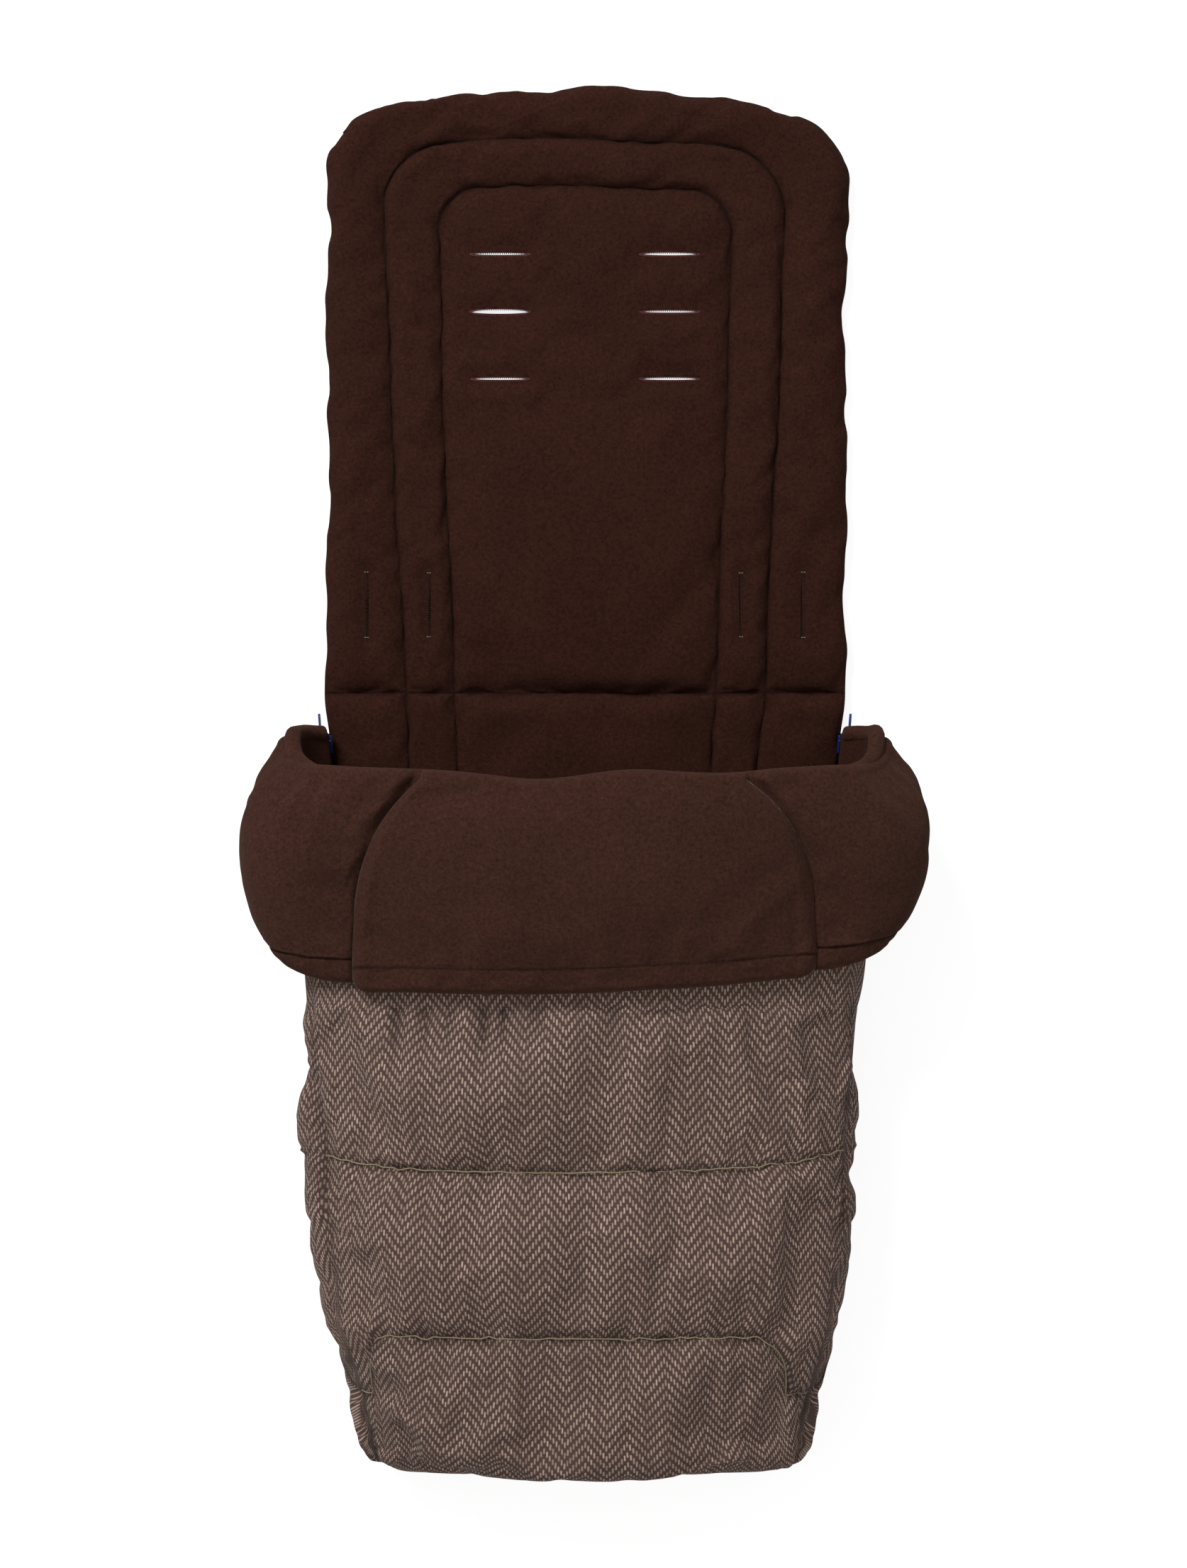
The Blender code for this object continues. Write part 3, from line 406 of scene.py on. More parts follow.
def end_material(parts, values, height, distance, strength=1.0):
    """Give a material's shader its values and its relief."""
    material, tree, shader = parts
    bump = new_node(tree, "Bump", {"Strength": strength, "Distance": distance, "Height": height})
    feed(tree, shader, {**values, "Normal": bump.outputs["Normal"]})
    return material


def shade_seams(tree, colour, dark):
    """Paint shade into a cloth's colour towards the bottom of its seams."""
    seam = new_node(tree, "Attribute", {}, attribute_name="crease")
    share = math_node(tree, "MULTIPLY", seam.outputs["Fac"], SEAM_SHADE)
    return blend_colour(tree, share, colour, dark)


def object_place(tree):
    return new_node(tree, "TexCoord", {}).outputs["Object"]


# %% The nap of fleece
# How far the painted seam shade goes towards its dark colour.
SEAM_SHADE = 0.62
NOISE_SPAN = (0.3, 0.7)
NAP_SPAN = (0.32, 0.68)
NAP_TONES = (0.52, 1.60)
DRIFT_TONES = (0.93, 1.08)
# Dark colour of the painted shade at the bottom of the fleece's seams.
FLEECE_SEAM_SHADE_COLOUR = (0.004, 0.002, 0.002, 1)
NAP_HEIGHT = 0.0006


def fleece_group():
    group, start, end = new_group("fleece_nap", "Colour")
    vector = start.outputs["Vector"]
    fine = noise_node(group, vector, scale=900, detail=3, roughness=0.7)
    curls = noise_node(group, vector, scale=420, detail=2, roughness=0.6)
    drift = noise_node(group, vector, scale=22)
    speck = math_node(group, "MULTIPLY_ADD", fine, 0.5, math_node(group, "MULTIPLY", curls, 0.5))
    light = range_node(group, speck, NAP_SPAN, NAP_TONES)
    slow = range_node(group, drift, NOISE_SPAN, DRIFT_TONES)
    gain = math_node(group, "MULTIPLY", light, slow)
    lit = new_node(group, "VectorMath", {0: start.outputs["Colour"], "Scale": gain}, operation="SCALE")
    feed(group, end, {"Colour": lit.outputs["Vector"], "Height": speck})
    return group


FLEECE_GROUP = fleece_group()


def fleece_material(name, colour, sheen):
    parts = new_material(name)
    tree = parts[1]
    inputs = {"Vector": object_place(tree), "Colour": colour}
    nap = new_node(tree, "Group", inputs, node_tree=FLEECE_GROUP)
    values = {
        "Base Color": shade_seams(tree, nap.outputs["Colour"], FLEECE_SEAM_SHADE_COLOUR),
        "Roughness": 0.95, "Specular IOR Level": 0.07,
        "Sheen Weight": sheen, "Sheen Roughness": 0.6, "Sheen Tint": (0.58, 0.33, 0.25, 1),
    }
    return end_material(parts, values, nap.outputs["Height"], NAP_HEIGHT)


# %% [markdown]
# Herringbone: columns of slanting stripes that change direction from column to column. Each stripe is a
# row of short upright floats of light yarn over a dark ground.

# %% The herringbone weave
COLUMN = 0.0132
STRIPE_PITCH = 0.0070
YARNS_PER_COLUMN = 7
FLOAT_PITCH = COLUMN / YARNS_PER_COLUMN
SLANT = 1.20
SHAKE = 0.0016
SHAKE_ACROSS = 0.6
FLOAT_END = (0.20, 0.31)
FLOAT_SIDE = (0.20, 0.40)
FLOAT_TONE = 0.5
LEAST_FLOAT_TONE = 0.55
PATCH_TONES = (0.75, 1.1)
YARN_TONES = (0.72, 1.15)
FUZZ_SPAN = (0.35, 0.65)
FUZZ_SHARES = (0, 0.11)
FUZZ_HEIGHT = 0.3
DARK_YARN = (0.060, 0.031, 0.027, 1)
LIGHT_YARN = (0.54, 0.390, 0.310, 1)
# Dark colour of the painted shade at the bottom of the weave's seams.
WEAVE_SEAM_SHADE_COLOUR = (0.02, 0.012, 0.01, 1)
WEAVE_HEIGHT = 0.0003


def from_middle(tree, share):
    """Distance of a share from one half."""
    return math_node(tree, "ABSOLUTE", math_node(tree, "SUBTRACT", share, 0.5))


def random_node(tree, dimensions, label, value):
    return new_node(tree, "TexWhiteNoise", {label: value}, noise_dimensions=dimensions).outputs["Value"]


def herringbone_group():
    group, start, end = new_group("herringbone", "Dark", "Light")
    calc = partial(math_node, group)
    vector = start.outputs["Vector"]
    wobble = noise_node(group, vector, scale=160)
    split = new_node(group, "SeparateXYZ", {"Vector": vector})
    shake = calc("MULTIPLY_ADD", wobble, SHAKE, -SHAKE / 2)
    shake_across = calc("MULTIPLY", shake, SHAKE_ACROSS)
    across = calc("ADD", split.outputs["X"], shake_across)
    along = calc("ADD", split.outputs["Y"], shake)
    yarn = calc("DIVIDE", across, FLOAT_PITCH)
    yarn_number = calc("FLOOR", yarn)
    yarn_x = calc("MULTIPLY", yarn_number, FLOAT_PITCH)
    zigzag = calc("PINGPONG", yarn_x, COLUMN)
    climb = calc("MULTIPLY_ADD", zigzag, SLANT, along)
    stripes = calc("DIVIDE", climb, STRIPE_PITCH)
    stripe_number = calc("FLOOR", stripes)
    from_stripe = from_middle(group, calc("FRACT", stripes))
    from_yarn = from_middle(group, calc("FRACT", yarn))
    float_end = range_node(group, from_stripe, FLOAT_END, (1, 0))
    float_side = range_node(group, from_yarn, FLOAT_SIDE, (1, 0))
    mask = calc("MULTIPLY", float_end, float_side)
    pick = new_node(group, "CombineXYZ", {"X": yarn_number, "Y": stripe_number})
    random = random_node(group, "2D", "Vector", pick.outputs["Vector"])
    patchy = noise_node(group, vector, scale=60, detail=2, roughness=0.6)
    yarn_random = random_node(group, "1D", "W", yarn_number)
    strength = calc("MULTIPLY_ADD", random, FLOAT_TONE, LEAST_FLOAT_TONE)
    for value, span, tones in ((patchy, NOISE_SPAN, PATCH_TONES), (yarn_random, (0, 1), YARN_TONES)):
        strength = calc("MULTIPLY", strength, range_node(group, value, span, tones))
    mask = calc("MULTIPLY", mask, strength)
    fuzz = noise_node(group, vector, scale=1500, detail=2, roughness=0.6)
    fuzz_share = range_node(group, fuzz, FUZZ_SPAN, FUZZ_SHARES)
    dark = blend_colour(group, fuzz_share, start.outputs["Dark"], start.outputs["Light"])
    colour = blend_colour(group, mask, dark, start.outputs["Light"])
    feed(group, end, {"Colour": colour, "Height": calc("MULTIPLY_ADD", fuzz, FUZZ_HEIGHT, mask)})
    return group


HERRINGBONE_GROUP = herringbone_group()

# %% Herringbone cloth
def herringbone_material(name):
    parts = new_material(name)
    tree = parts[1]
    place = new_node(tree, "UVMap", {}, uv_map="cloth")
    inputs = {"Vector": place.outputs["UV"], "Dark": DARK_YARN, "Light": LIGHT_YARN}
    weave = new_node(tree, "Group", inputs, node_tree=HERRINGBONE_GROUP)
    values = {
        "Base Color": shade_seams(tree, weave.outputs["Colour"], WEAVE_SEAM_SHADE_COLOUR),
        "Roughness": 0.88, "Specular IOR Level": 0.2, "Sheen Weight": 0.08, "Sheen Roughness": 0.5,
    }
    return end_material(parts, values, weave.outputs["Height"], WEAVE_HEIGHT)


# %% Thread, tape, teeth and enamel
GRAIN_HEIGHT = 0.0002
WEAR_HEIGHT = 0.00005
THREAD_SHADE = 0.55
TAPE_SHADE = 0.6
SMEAR_SHADE = 0.7
SMEAR_GLOSS = (0.7, 1.3)


def thread_material(name, colour):
    parts = new_material(name)
    tree = parts[1]
    grain = noise_node(tree, object_place(tree), scale=1400, detail=2, roughness=0.6)
    tone = blend_colour(tree, range_node(tree, grain, FUZZ_SPAN), darker(colour, THREAD_SHADE), colour)
    values = {"Base Color": tone, "Roughness": 0.75, "Specular IOR Level": 0.3}
    return end_material(parts, values, grain, GRAIN_HEIGHT)


def tape_material(name, colour):
    parts = new_material(name)
    tree = parts[1]
    inputs = {"Vector": object_place(tree), "Scale": 420, "Distortion": 1.5}
    wave = new_node(tree, "TexWave", inputs, wave_type="BANDS", bands_direction="Y").outputs["Fac"]
    tone = blend_colour(tree, wave, darker(colour, TAPE_SHADE), colour)
    return end_material(parts, {"Base Color": tone, "Roughness": 0.85}, wave, GRAIN_HEIGHT)


def hard_material(name, colour, roughness, metallic, coat):
    """Moulded plastic or enamel, with a smeared gloss and fine wear."""
    parts = new_material(name)
    tree = parts[1]
    place = object_place(tree)
    smear = noise_node(tree, place, scale=320, detail=4, roughness=0.65)
    wear = noise_node(tree, place, scale=2200)
    tone = blend_colour(tree, range_node(tree, smear, NOISE_SPAN), darker(colour, SMEAR_SHADE), colour)
    gloss = range_node(tree, smear, NOISE_SPAN, [roughness * share for share in SMEAR_GLOSS])
    values = {"Base Color": tone, "Roughness": gloss, "Metallic": metallic, "Coat Weight": coat}
    return end_material(parts, values, wear, WEAR_HEIGHT, strength=0.5)


# %% The materials
LINER_FLEECE = fleece_material("liner_fleece", (0.0300, 0.0098, 0.0063, 1), 0.05)
# The cuff and mouth binding use the lining's fleece with a lighter base colour, which is painted light for
# their upturned faces.
CUFF_FLEECE_LIT = fleece_material("cuff_fleece_lit", (0.0410, 0.0160, 0.0107, 1), 0.12)
HERRINGBONE = herringbone_material("herringbone_cloth")
THREAD_AND_SEAM_HIGHLIGHT = thread_material("thread_and_seam_highlight", (0.36, 0.29, 0.18, 1))
BROWN_THREAD = thread_material("brown_thread", (0.018, 0.008, 0.006, 1))
MAROON_THREAD = thread_material("maroon_thread", (0.16, 0.045, 0.050, 1))
ZIP_TAPE = tape_material("zip_tape", (0.035, 0.016, 0.012, 1))
ZIP_TEETH = hard_material("zip_teeth", (0.035, 0.018, 0.014, 1), 0.35, 0.0, 0.2)
BLUE_ENAMEL = hard_material("blue_enamel", (0.012, 0.035, 0.26, 1), 0.2, 0.3, 0.8)


def dress(thing, *materials):
    """Give a piece its materials; a CAD node's plain one goes first."""
    if thing.data.materials:
        thing.data.materials.clear()
    for material in materials:
        thing.data.materials.append(material)


# %% [markdown]
# The pouch shell is one sewn shell of herringbone cloth over wadding, with a fleece inside. Its cross
# seams bow towards the toe, because the filling lifts the middle of the arch.

# %% Grid and seams of the pouch shell
GUSSET_STEPS = 16
PANEL_STEPS = 84
ACROSS = 2 * GUSSET_STEPS + PANEL_STEPS
SIDE_SEAMS = (GUSSET_STEPS, GUSSET_STEPS + PANEL_STEPS)
FLAT_STEPS = 14
PUFF_STEPS = 44
SEAM_ONE_ROW = FLAT_STEPS + PUFF_STEPS
SEAM_TWO_ROW = SEAM_ONE_ROW + PUFF_STEPS
TOE_ROW = SEAM_TWO_ROW + PUFF_STEPS
CROSS_SEAMS = (SEAM_ONE_ROW, SEAM_TWO_ROW)
BOW_ONE = 0.0115
BOW_ONE_RISE = 0.0065
BOW_TILT = 0.0040
BOW_TWO = 0.0025
CORNERS = {-1: (0.128, 0.0230), 1: (0.104, 0.0390)}
CORNER_DIP = 0.040


def shell_rows():
    rows = spread(MOUTH_Y, PUFF_START_Y, FLAT_STEPS)
    rows += spread(PUFF_START_Y, SEAM_ONE_Y, PUFF_STEPS)[1:]
    rows += spread(SEAM_ONE_Y, SEAM_TWO_Y, PUFF_STEPS)[1:]
    shares = [math.sin(math.pi / 2 * step / PUFF_STEPS) for step in range(1, PUFF_STEPS + 1)]
    rows += [mix(SEAM_TWO_Y, TOE_INSIDE_Y, share) for share in shares]
    return rows


SHELL_ROWS = shell_rows()


def shell_turn(column, station):
    edge = turn_at(PANEL_EDGE_ANGLE, station)
    if column <= SIDE_SEAMS[0]:
        return edge * column / GUSSET_STEPS
    if column >= SIDE_SEAMS[1]:
        return 1 - edge * (ACROSS - column) / GUSSET_STEPS
    return mix(edge, 1 - edge, (column - GUSSET_STEPS) / PANEL_STEPS)


def corner_dip(column):
    """How far the lower cross seam has turned down into the toe's side seam."""
    place = arch_point(shell_turn(column, SEAM_TWO_Y), SEAM_TWO_Y, SEAM_DEPTH)
    start, run = CORNERS[1 if place.x > 0 else -1]
    share = clamp((abs(place.x) - start) / run)
    dip = CORNER_DIP * (1 - math.sqrt(1 - share * share))
    from_zip = min(column, ACROSS - column) / GUSSET_STEPS
    return dip if from_zip >= 1 else CORNER_DIP * smooth(from_zip)


DIPS = [corner_dip(column) for column in range(ACROSS + 1)]


def bow(column, row):
    """How far a cross seam lies towards the toe of its straight line, fading out between seams."""
    share = clamp((column - GUSSET_STEPS) / PANEL_STEPS)
    arch = 4 * share * (1 - share)
    upper = BOW_ONE * arch - BOW_ONE_RISE - BOW_TILT * (share - 0.5)
    lower = BOW_TWO * arch
    if row <= FLAT_STEPS:
        return 0
    if row <= SEAM_ONE_ROW:
        return upper * (row - FLAT_STEPS) / PUFF_STEPS
    if row <= SEAM_TWO_ROW:
        along = (row - SEAM_ONE_ROW) / PUFF_STEPS
        return mix(upper, lower, along) + DIPS[column] * along**2
    toe = (SHELL_ROWS[row] - TOE_INSIDE_Y) / TOE_LENGTH
    return (lower + DIPS[column]) * toe


print("shell grid", ACROSS, "by", TOE_ROW, "cells")

# %% [markdown]
# The shell is drawn in at each seam and full between them. The left gusset is fuller than the right
# one, as in the photo, and both flatten towards the toe.

# %% Depth of the filled shell
LEFT_PUFF = 0.0200
RIGHT_PUFF = 0.0125
TOE_PUFF = 0.0135
PANEL_PUFF = 0.0175
PANEL_SIDE_PUFF = 0.0110
TOE_END_DEPTH = 0.0050
TOE_END = (0.55, 0.45)
TOE_PUFF_LEAD = 0.03
TOE_PUFF_RUN = 0.05
PUFF_LEAD = 0.004
PUFF_RUN = 0.045
GUSSET_FOOT_DEPTH = 0.0032
GUSSET_CREST = 2.4
PANEL_CREST = 8
PUFF_CREST = 2.6
GUSSET_CHANGES = {
    -1: ((-0.0075, -0.186, 0.022), (0.0065, -0.238, 0.022), (-0.0050, -0.345, 0.030)),
    1: ((-0.0110, -0.178, 0.026), (0.0030, -0.265, 0.030)),
}


def gusset_full(station, hand):
    """Fullness of a side gusset: the left one is fuller between the cuff and the lower seam."""
    full = LEFT_PUFF if hand < 0 else RIGHT_PUFF
    full = mix(full, TOE_PUFF, smooth((SEAM_TWO_Y + TOE_PUFF_LEAD - station) / TOE_PUFF_RUN))
    for change, middle, reach in GUSSET_CHANGES[hand]:
        full += change * bell(station - middle, reach)
    full = mix(full, TOE_END_DEPTH, ramp(toe_share(station), *TOE_END))
    return mix(FLAT_DEPTH, full, smooth((PUFF_START_Y + PUFF_LEAD - station) / PUFF_RUN))


def shell_depth(column, row):
    """Depth of the filled cloth: drawn in at each seam."""
    station = SHELL_ROWS[row]
    if column <= SIDE_SEAMS[0] or column >= SIDE_SEAMS[1]:
        hand = -1 if column <= GUSSET_STEPS else 1
        share = min(column, ACROSS - column) / GUSSET_STEPS
        edge = mix(GUSSET_FOOT_DEPTH, SEAM_DEPTH, share)
        if row <= FLAT_STEPS:
            return mix(edge, FLAT_DEPTH, crest(share))
        return mix(edge, gusset_full(station, hand), crest(share, GUSSET_CREST))
    share = (column - GUSSET_STEPS) / PANEL_STEPS
    edge = SEAM_DEPTH
    full = mix(PANEL_SIDE_PUFF, PANEL_PUFF, math.sin(math.pi * share))
    side = crest(share, PANEL_CREST)
    if row <= FLAT_STEPS:
        return mix(edge, FLAT_DEPTH, side)
    along = ((row - FLAT_STEPS) % PUFF_STEPS) / PUFF_STEPS if row < TOE_ROW else 1
    if row > SEAM_TWO_ROW and along > 0.5:
        full = mix(full, TOE_END_DEPTH, smooth(2 * along - 1))
        return mix(edge, full, side)
    if row <= SEAM_ONE_ROW:
        edge = mix(FLAT_DEPTH, SEAM_DEPTH, (row - FLAT_STEPS) / PUFF_STEPS)
    return mix(edge, full, side * crest(along, PUFF_CREST))


def shell_outer(column, row):
    station = SHELL_ROWS[row] - bow(column, row)
    return arch_point(shell_turn(column, station), station, shell_depth(column, row))


def shell_inner(column, row):
    station = max(SHELL_ROWS[row] - bow(column, row), TOE_INSIDE_Y)
    return arch_point(shell_turn(column, station), station, CLEARANCE)


print("upper panel stands", round(shell_outer(ACROSS // 2, FLAT_STEPS + PUFF_STEPS // 2).z, 3), "m high")

# %% [markdown]
# The weave lies along the cloth: its coordinates are lengths in metres, across from the middle line
# and down it.

# %% Lengths of the shell's cloth
EVEN_DEPTH = 0.012


def cloth_point(column, row):
    """The panels' cloth without its puff, and the gussets' cloth with it."""
    if SIDE_SEAMS[0] <= column <= SIDE_SEAMS[1]:
        station = SHELL_ROWS[row]
        return arch_point(shell_turn(column, station), station, EVEN_DEPTH)
    return shell_outer(column, row)


def cloth_lengths():
    """Length of cloth from the middle line to each column, and down the middle line to each row."""
    middle = ACROSS // 2
    ups = [0.0]
    for row in range(1, TOE_ROW + 1):
        ups.append(ups[-1] + (shell_outer(middle, row) - shell_outer(middle, row - 1)).length)
    sides = []
    for row in range(TOE_ROW + 1):
        line = [cloth_point(column, row) for column in range(ACROSS + 1)]
        lengths = [0.0]
        for before, after in zip(line, line[1:]):
            lengths.append(lengths[-1] + (after - before).length)
        sides.append([value - lengths[middle] for value in lengths])
    return sides, ups


SIDES, UPS = cloth_lengths()
MIDDLE_STATIONS = [SHELL_ROWS[row] - bow(ACROSS // 2, row) for row in range(TOE_ROW + 1)]


def length_at(station):
    """Length of cloth down the middle line to a station."""
    for row in range(1, TOE_ROW + 1):
        above, below = MIDDLE_STATIONS[row - 1], MIDDLE_STATIONS[row]
        if station >= below:
            return mix(UPS[row], UPS[row - 1], (station - below) / (above - below))
    return UPS[-1]


def shell_uv(column, row):
    return SIDES[row][column], -length_at(SHELL_ROWS[row] - bow(column, row))


print("cloth down the middle", round(UPS[-1], 3), "m")

# %% Gathers and puckers of the pouch shell
GATHERS = (
    (-0.122, 0.9), (-0.104, 0.8), (-0.088, 0.6), (-0.066, 1.0), (-0.052, 0.8), (-0.030, 0.6), (0.020, 0.4),
)
GATHER_DEPTH = 0.0040
GATHER_WIDTH = 0.0042
GATHER_RUN = 0.020
ROW_SPACE = 0.0025
PANEL_COLUMN_SPACE = 0.0045
GUSSET_COLUMN_SPACE = 0.0030
ROW_FOLD = 0.0054
ROW_FOLD_CELLS = (120, 14)
ROW_FOLD_RUN = 0.011
ROW_FOLD_START = 0.0025
SIDE_FOLD = 0.0060
SIDE_FOLD_CELLS = (95, 30)
SIDE_FOLD_RUN = 0.016
SIDE_FOLD_START = 0.003
FOLD_SEED = 3.1
SIDE_FOLD_SEED = 1.7


def gather_share(place, past_hem):
    """How deep a place lies in one of the gathers below the cuff."""
    share = sum(size * bell(place.x - middle, GATHER_WIDTH) for middle, size in GATHERS)
    return min(share, 1) * bell(past_hem, GATHER_RUN)


def seam_distance(column, row):
    """Distance along the cloth to the nearest cross seam and side seam, in metres, about."""
    rows = min(abs(row - seam) for seam in CROSS_SEAMS) * ROW_SPACE
    columns = min(abs(column - seam) for seam in SIDE_SEAMS) * PANEL_COLUMN_SPACE
    columns = min(columns, min(column, ACROSS - column) * GUSSET_COLUMN_SPACE)
    return rows, columns


def beside_seam(distance, run, begin):
    """0 on a seam, full just beside it, and fading out over a run."""
    return math.exp(-distance / run) * min(distance / begin, 1)


def pucker(place, rows, columns):
    """Small folds that run away from a seam and die out within about two centimetres."""
    cells_x, cells_y = ROW_FOLD_CELLS
    along = noise.noise(Vector((place.x * cells_x, FOLD_SEED, place.y * cells_y)))
    cells_y, cells_z = SIDE_FOLD_CELLS
    across = noise.noise(Vector((SIDE_FOLD_SEED, place.y * cells_y, place.z * cells_z)))
    near_row = beside_seam(rows, ROW_FOLD_RUN, ROW_FOLD_START)
    near_column = beside_seam(columns, SIDE_FOLD_RUN, SIDE_FOLD_START)
    return ROW_FOLD * along * near_row + SIDE_FOLD * across * near_column


# %% Filling the pouch shell
UNFILLED = 0.84
SHELL_SWELL = (0.0016, 24)
SHELL_AIR = {"pressure": 2.5, "slack": 0.045, "frames": 16, "cap": 0.012}


def start_place(column, row):
    """The shell before it is filled: less full, with the first trace of its folds."""
    station = SHELL_ROWS[row] - bow(column, row)
    depth = shell_depth(column, row)
    depth = mix(SEAM_DEPTH, depth, UNFILLED) if depth > SEAM_DEPTH else depth
    place = arch_point(shell_turn(column, station), station, depth)
    if is_sewn(column, row):
        return place
    rows, columns = seam_distance(column, row)
    lift = pucker(place, rows, columns)
    lift += ripple_at(SHELL_SWELL, place)
    lift -= GATHER_DEPTH * gather_share(place, PUFF_START_Y - station)
    return arch_point(shell_turn(column, station), station, depth + lift)


def is_sewn(column, row):
    if row <= FLAT_STEPS or row == TOE_ROW:
        return True
    if row in CROSS_SEAMS:
        return SIDE_SEAMS[0] <= column <= SIDE_SEAMS[1]
    return column in (0, *SIDE_SEAMS, ACROSS)


def filled_shell():
    """Places of the shell's outer side by column and row, after air has filled it."""
    columns = list(range(ACROSS + 1))
    rows = list(range(TOE_ROW + 1))
    cloth = grid_object("cloth_under_air", columns, rows, start_place)
    grid = bmesh.new()
    bmesh.ops.create_grid(grid, x_segments=ACROSS, y_segments=TOE_ROW, size=1)
    keys = {vert.index: grid_index(vert, ACROSS, TOE_ROW) for vert in grid.verts}
    grid.free()
    closed = bmesh.new()
    closed.from_mesh(cloth.data)
    rim = [edge for edge in closed.edges if edge.is_boundary]
    bmesh.ops.holes_fill(closed, edges=rim)
    face_outwards(closed)
    closed.to_mesh(cloth.data)
    closed.free()
    pins = [index for index, key in keys.items() if is_sewn(*key)]
    places = fill_with_air(cloth, pins, **SHELL_AIR)
    result = {key: places[index] for index, key in keys.items()}
    data = cloth.data
    bpy.data.objects.remove(cloth)
    bpy.data.meshes.remove(data)
    return result


SHELL_PLACES = filled_shell()
print("sewn places", sum(is_sewn(*key) for key in SHELL_PLACES), "of", len(SHELL_PLACES))

# %% [markdown]
# The filled cloth is kept clear of the fleece inside it, and its two edges are brought down on to the
# zip tapes. Painted shade is marked into the bottoms of the seams and of the gathers, for the cloth to be
# darker there.

# %% Making the pouch shell
LEAST_ROOM = 0.0035
TOE_STOP_Y = -0.4585
TOE_ROUND = 0.0070
TOE_LOW_X = 0.015
TOE_ROUND_REACH = 0.150
TOE_EASE = 0.40
RIGHT_TUCK = 0.0045
RIGHT_TUCK_SIDE = (0.12, 0.05)
RIGHT_TUCK_Y = -0.160
RIGHT_TUCK_REACH = 0.020
EDGE_OVERLAP = 0.0014
# Painted shade along the pouch's seams and in the gathers below the cuff: its noise, strengths and widths.
SEAM_BREAK_CELLS = (120, 40)
SEAM_TONE = 0.75
SEAM_TONE_CHANGE = 0.9
CROSS_SEAM_WIDTH = 0.0038
SIDE_SEAM_WIDTH = 0.007
TOE_SEAM_TONE = 1.1
SIDE_SEAM_TONE = 0.8
GATHER_TONE = 1.6


def lining_tree(columns, rows):
    """The fleece inside the shell, as a tree that finds its nearest point."""
    guide = grid_object("lining_guide", columns, rows, shell_inner)
    mesh = bmesh.new()
    mesh.from_mesh(guide.data)
    tree = BVHTree.FromBMesh(mesh)
    mesh.free()
    bpy.data.objects.remove(guide)
    return tree


def meet_tape(place, column, row):
    """Bring the edge of the cloth down on to the zip tape, as far as smoothing will raise it."""
    if column in (0, ACROSS):
        place.z -= EDGE_OVERLAP * (1 - toe_share(SHELL_ROWS[row]))
    return place


def shape_toe_and_side(place):
    """Keep the toe off its stop, and tuck the right side in below the cuff."""
    stop = TOE_STOP_Y + TOE_ROUND * min(abs(place.x - TOE_LOW_X) / TOE_ROUND_REACH, 1) ** 4
    if place.y < stop:
        place.y = stop + TOE_EASE * (place.y - stop)
    near = bell(place.y - RIGHT_TUCK_Y, RIGHT_TUCK_REACH)
    place.x -= RIGHT_TUCK * near * ramp(place.x, *RIGHT_TUCK_SIDE)


# %% The pouch shell, with painted shade in its seams
def shell_seam_shade(column, row, place):
    """How much painted shade a place takes for lying in a seam or in a gather, broken up by noise like
    small fold shadows.
    """
    if row <= FLAT_STEPS:
        return 0
    along, across = seam_distance(column, row)
    cells_x, cells_y = SEAM_BREAK_CELLS
    broken = noise.noise(Vector((place.x * cells_x, FOLD_SEED, place.y * cells_y)))
    side_seam = TOE_SEAM_TONE if row > SEAM_TWO_ROW else SIDE_SEAM_TONE
    seam = max(bell(along, CROSS_SEAM_WIDTH), side_seam * bell(across, SIDE_SEAM_WIDTH))
    gather = gather_share(place, PUFF_START_Y - SHELL_ROWS[row])
    return max((SEAM_TONE + SEAM_TONE_CHANGE * broken) * seam, GATHER_TONE * gather)


def make_pouch_shell():
    columns = list(range(ACROSS + 1))
    rows = list(range(TOE_ROW + 1))
    lining = lining_tree(columns, rows)

    def outer(column, row):
        place = SHELL_PLACES[(column, row)].copy()
        shape_toe_and_side(place)
        if not is_sewn(column, row):
            outwards = shell_outer(column, row) - shell_inner(column, row)
            spot, normal, _, _ = lining.find_nearest(place)
            normal *= 1 if normal.dot(outwards) > 0 else -1
            room = (place - spot).dot(normal)
            place += normal * max(LEAST_ROOM - room, 0)
        return meet_tape(place, column, row)

    def inner(column, row):
        return meet_tape(shell_inner(column, row), column, row)

    shell = grid_object("pouch_shell", columns, rows, outer, inner, shell_uv, 1)
    values = {}
    for column in columns:
        for row in rows:
            place = outer(column, row)
            values[place_key(place)] = shell_seam_shade(column, row, place)
    add_seam_shade(shell, [values.get(place_key(vert.co), 0) for vert in shell.data.vertices])
    dress(shell, HERRINGBONE, LINER_FLEECE)
    return shell


pouch_shell = make_pouch_shell()
print("pouch shell faces", len(pouch_shell.data.polygons))

# %% Smoothing a finished sheet
def subdivide(thing, levels=1):
    """Subdivide once or twice and keep the result in the mesh."""
    modifier = thing.modifiers.new("smooth", "SUBSURF")
    modifier.levels = levels
    modifier.render_levels = levels
    bake(thing)


def finished_mesh(thing, name):
    """A new mesh of what a thing's modifiers, or its curves, make of it."""
    bpy.context.view_layer.update()
    evaluated = thing.evaluated_get(bpy.context.evaluated_depsgraph_get())
    data = bpy.data.meshes.new_from_object(evaluated)
    data.name = name
    return data


def bake(thing):
    """Replace the mesh by what its modifiers make of it."""
    data = finished_mesh(thing, thing.name)
    old = thing.data
    thing.modifiers.clear()
    thing.data = data
    bpy.data.meshes.remove(old)


subdivide(pouch_shell)

# %% [markdown]
# The liner is a quilt: fleece over wadding, sewn through along two nested arches of stitching and along
# the seat crease. Its grid lines follow the arches, so every seam is a grid line of its own.

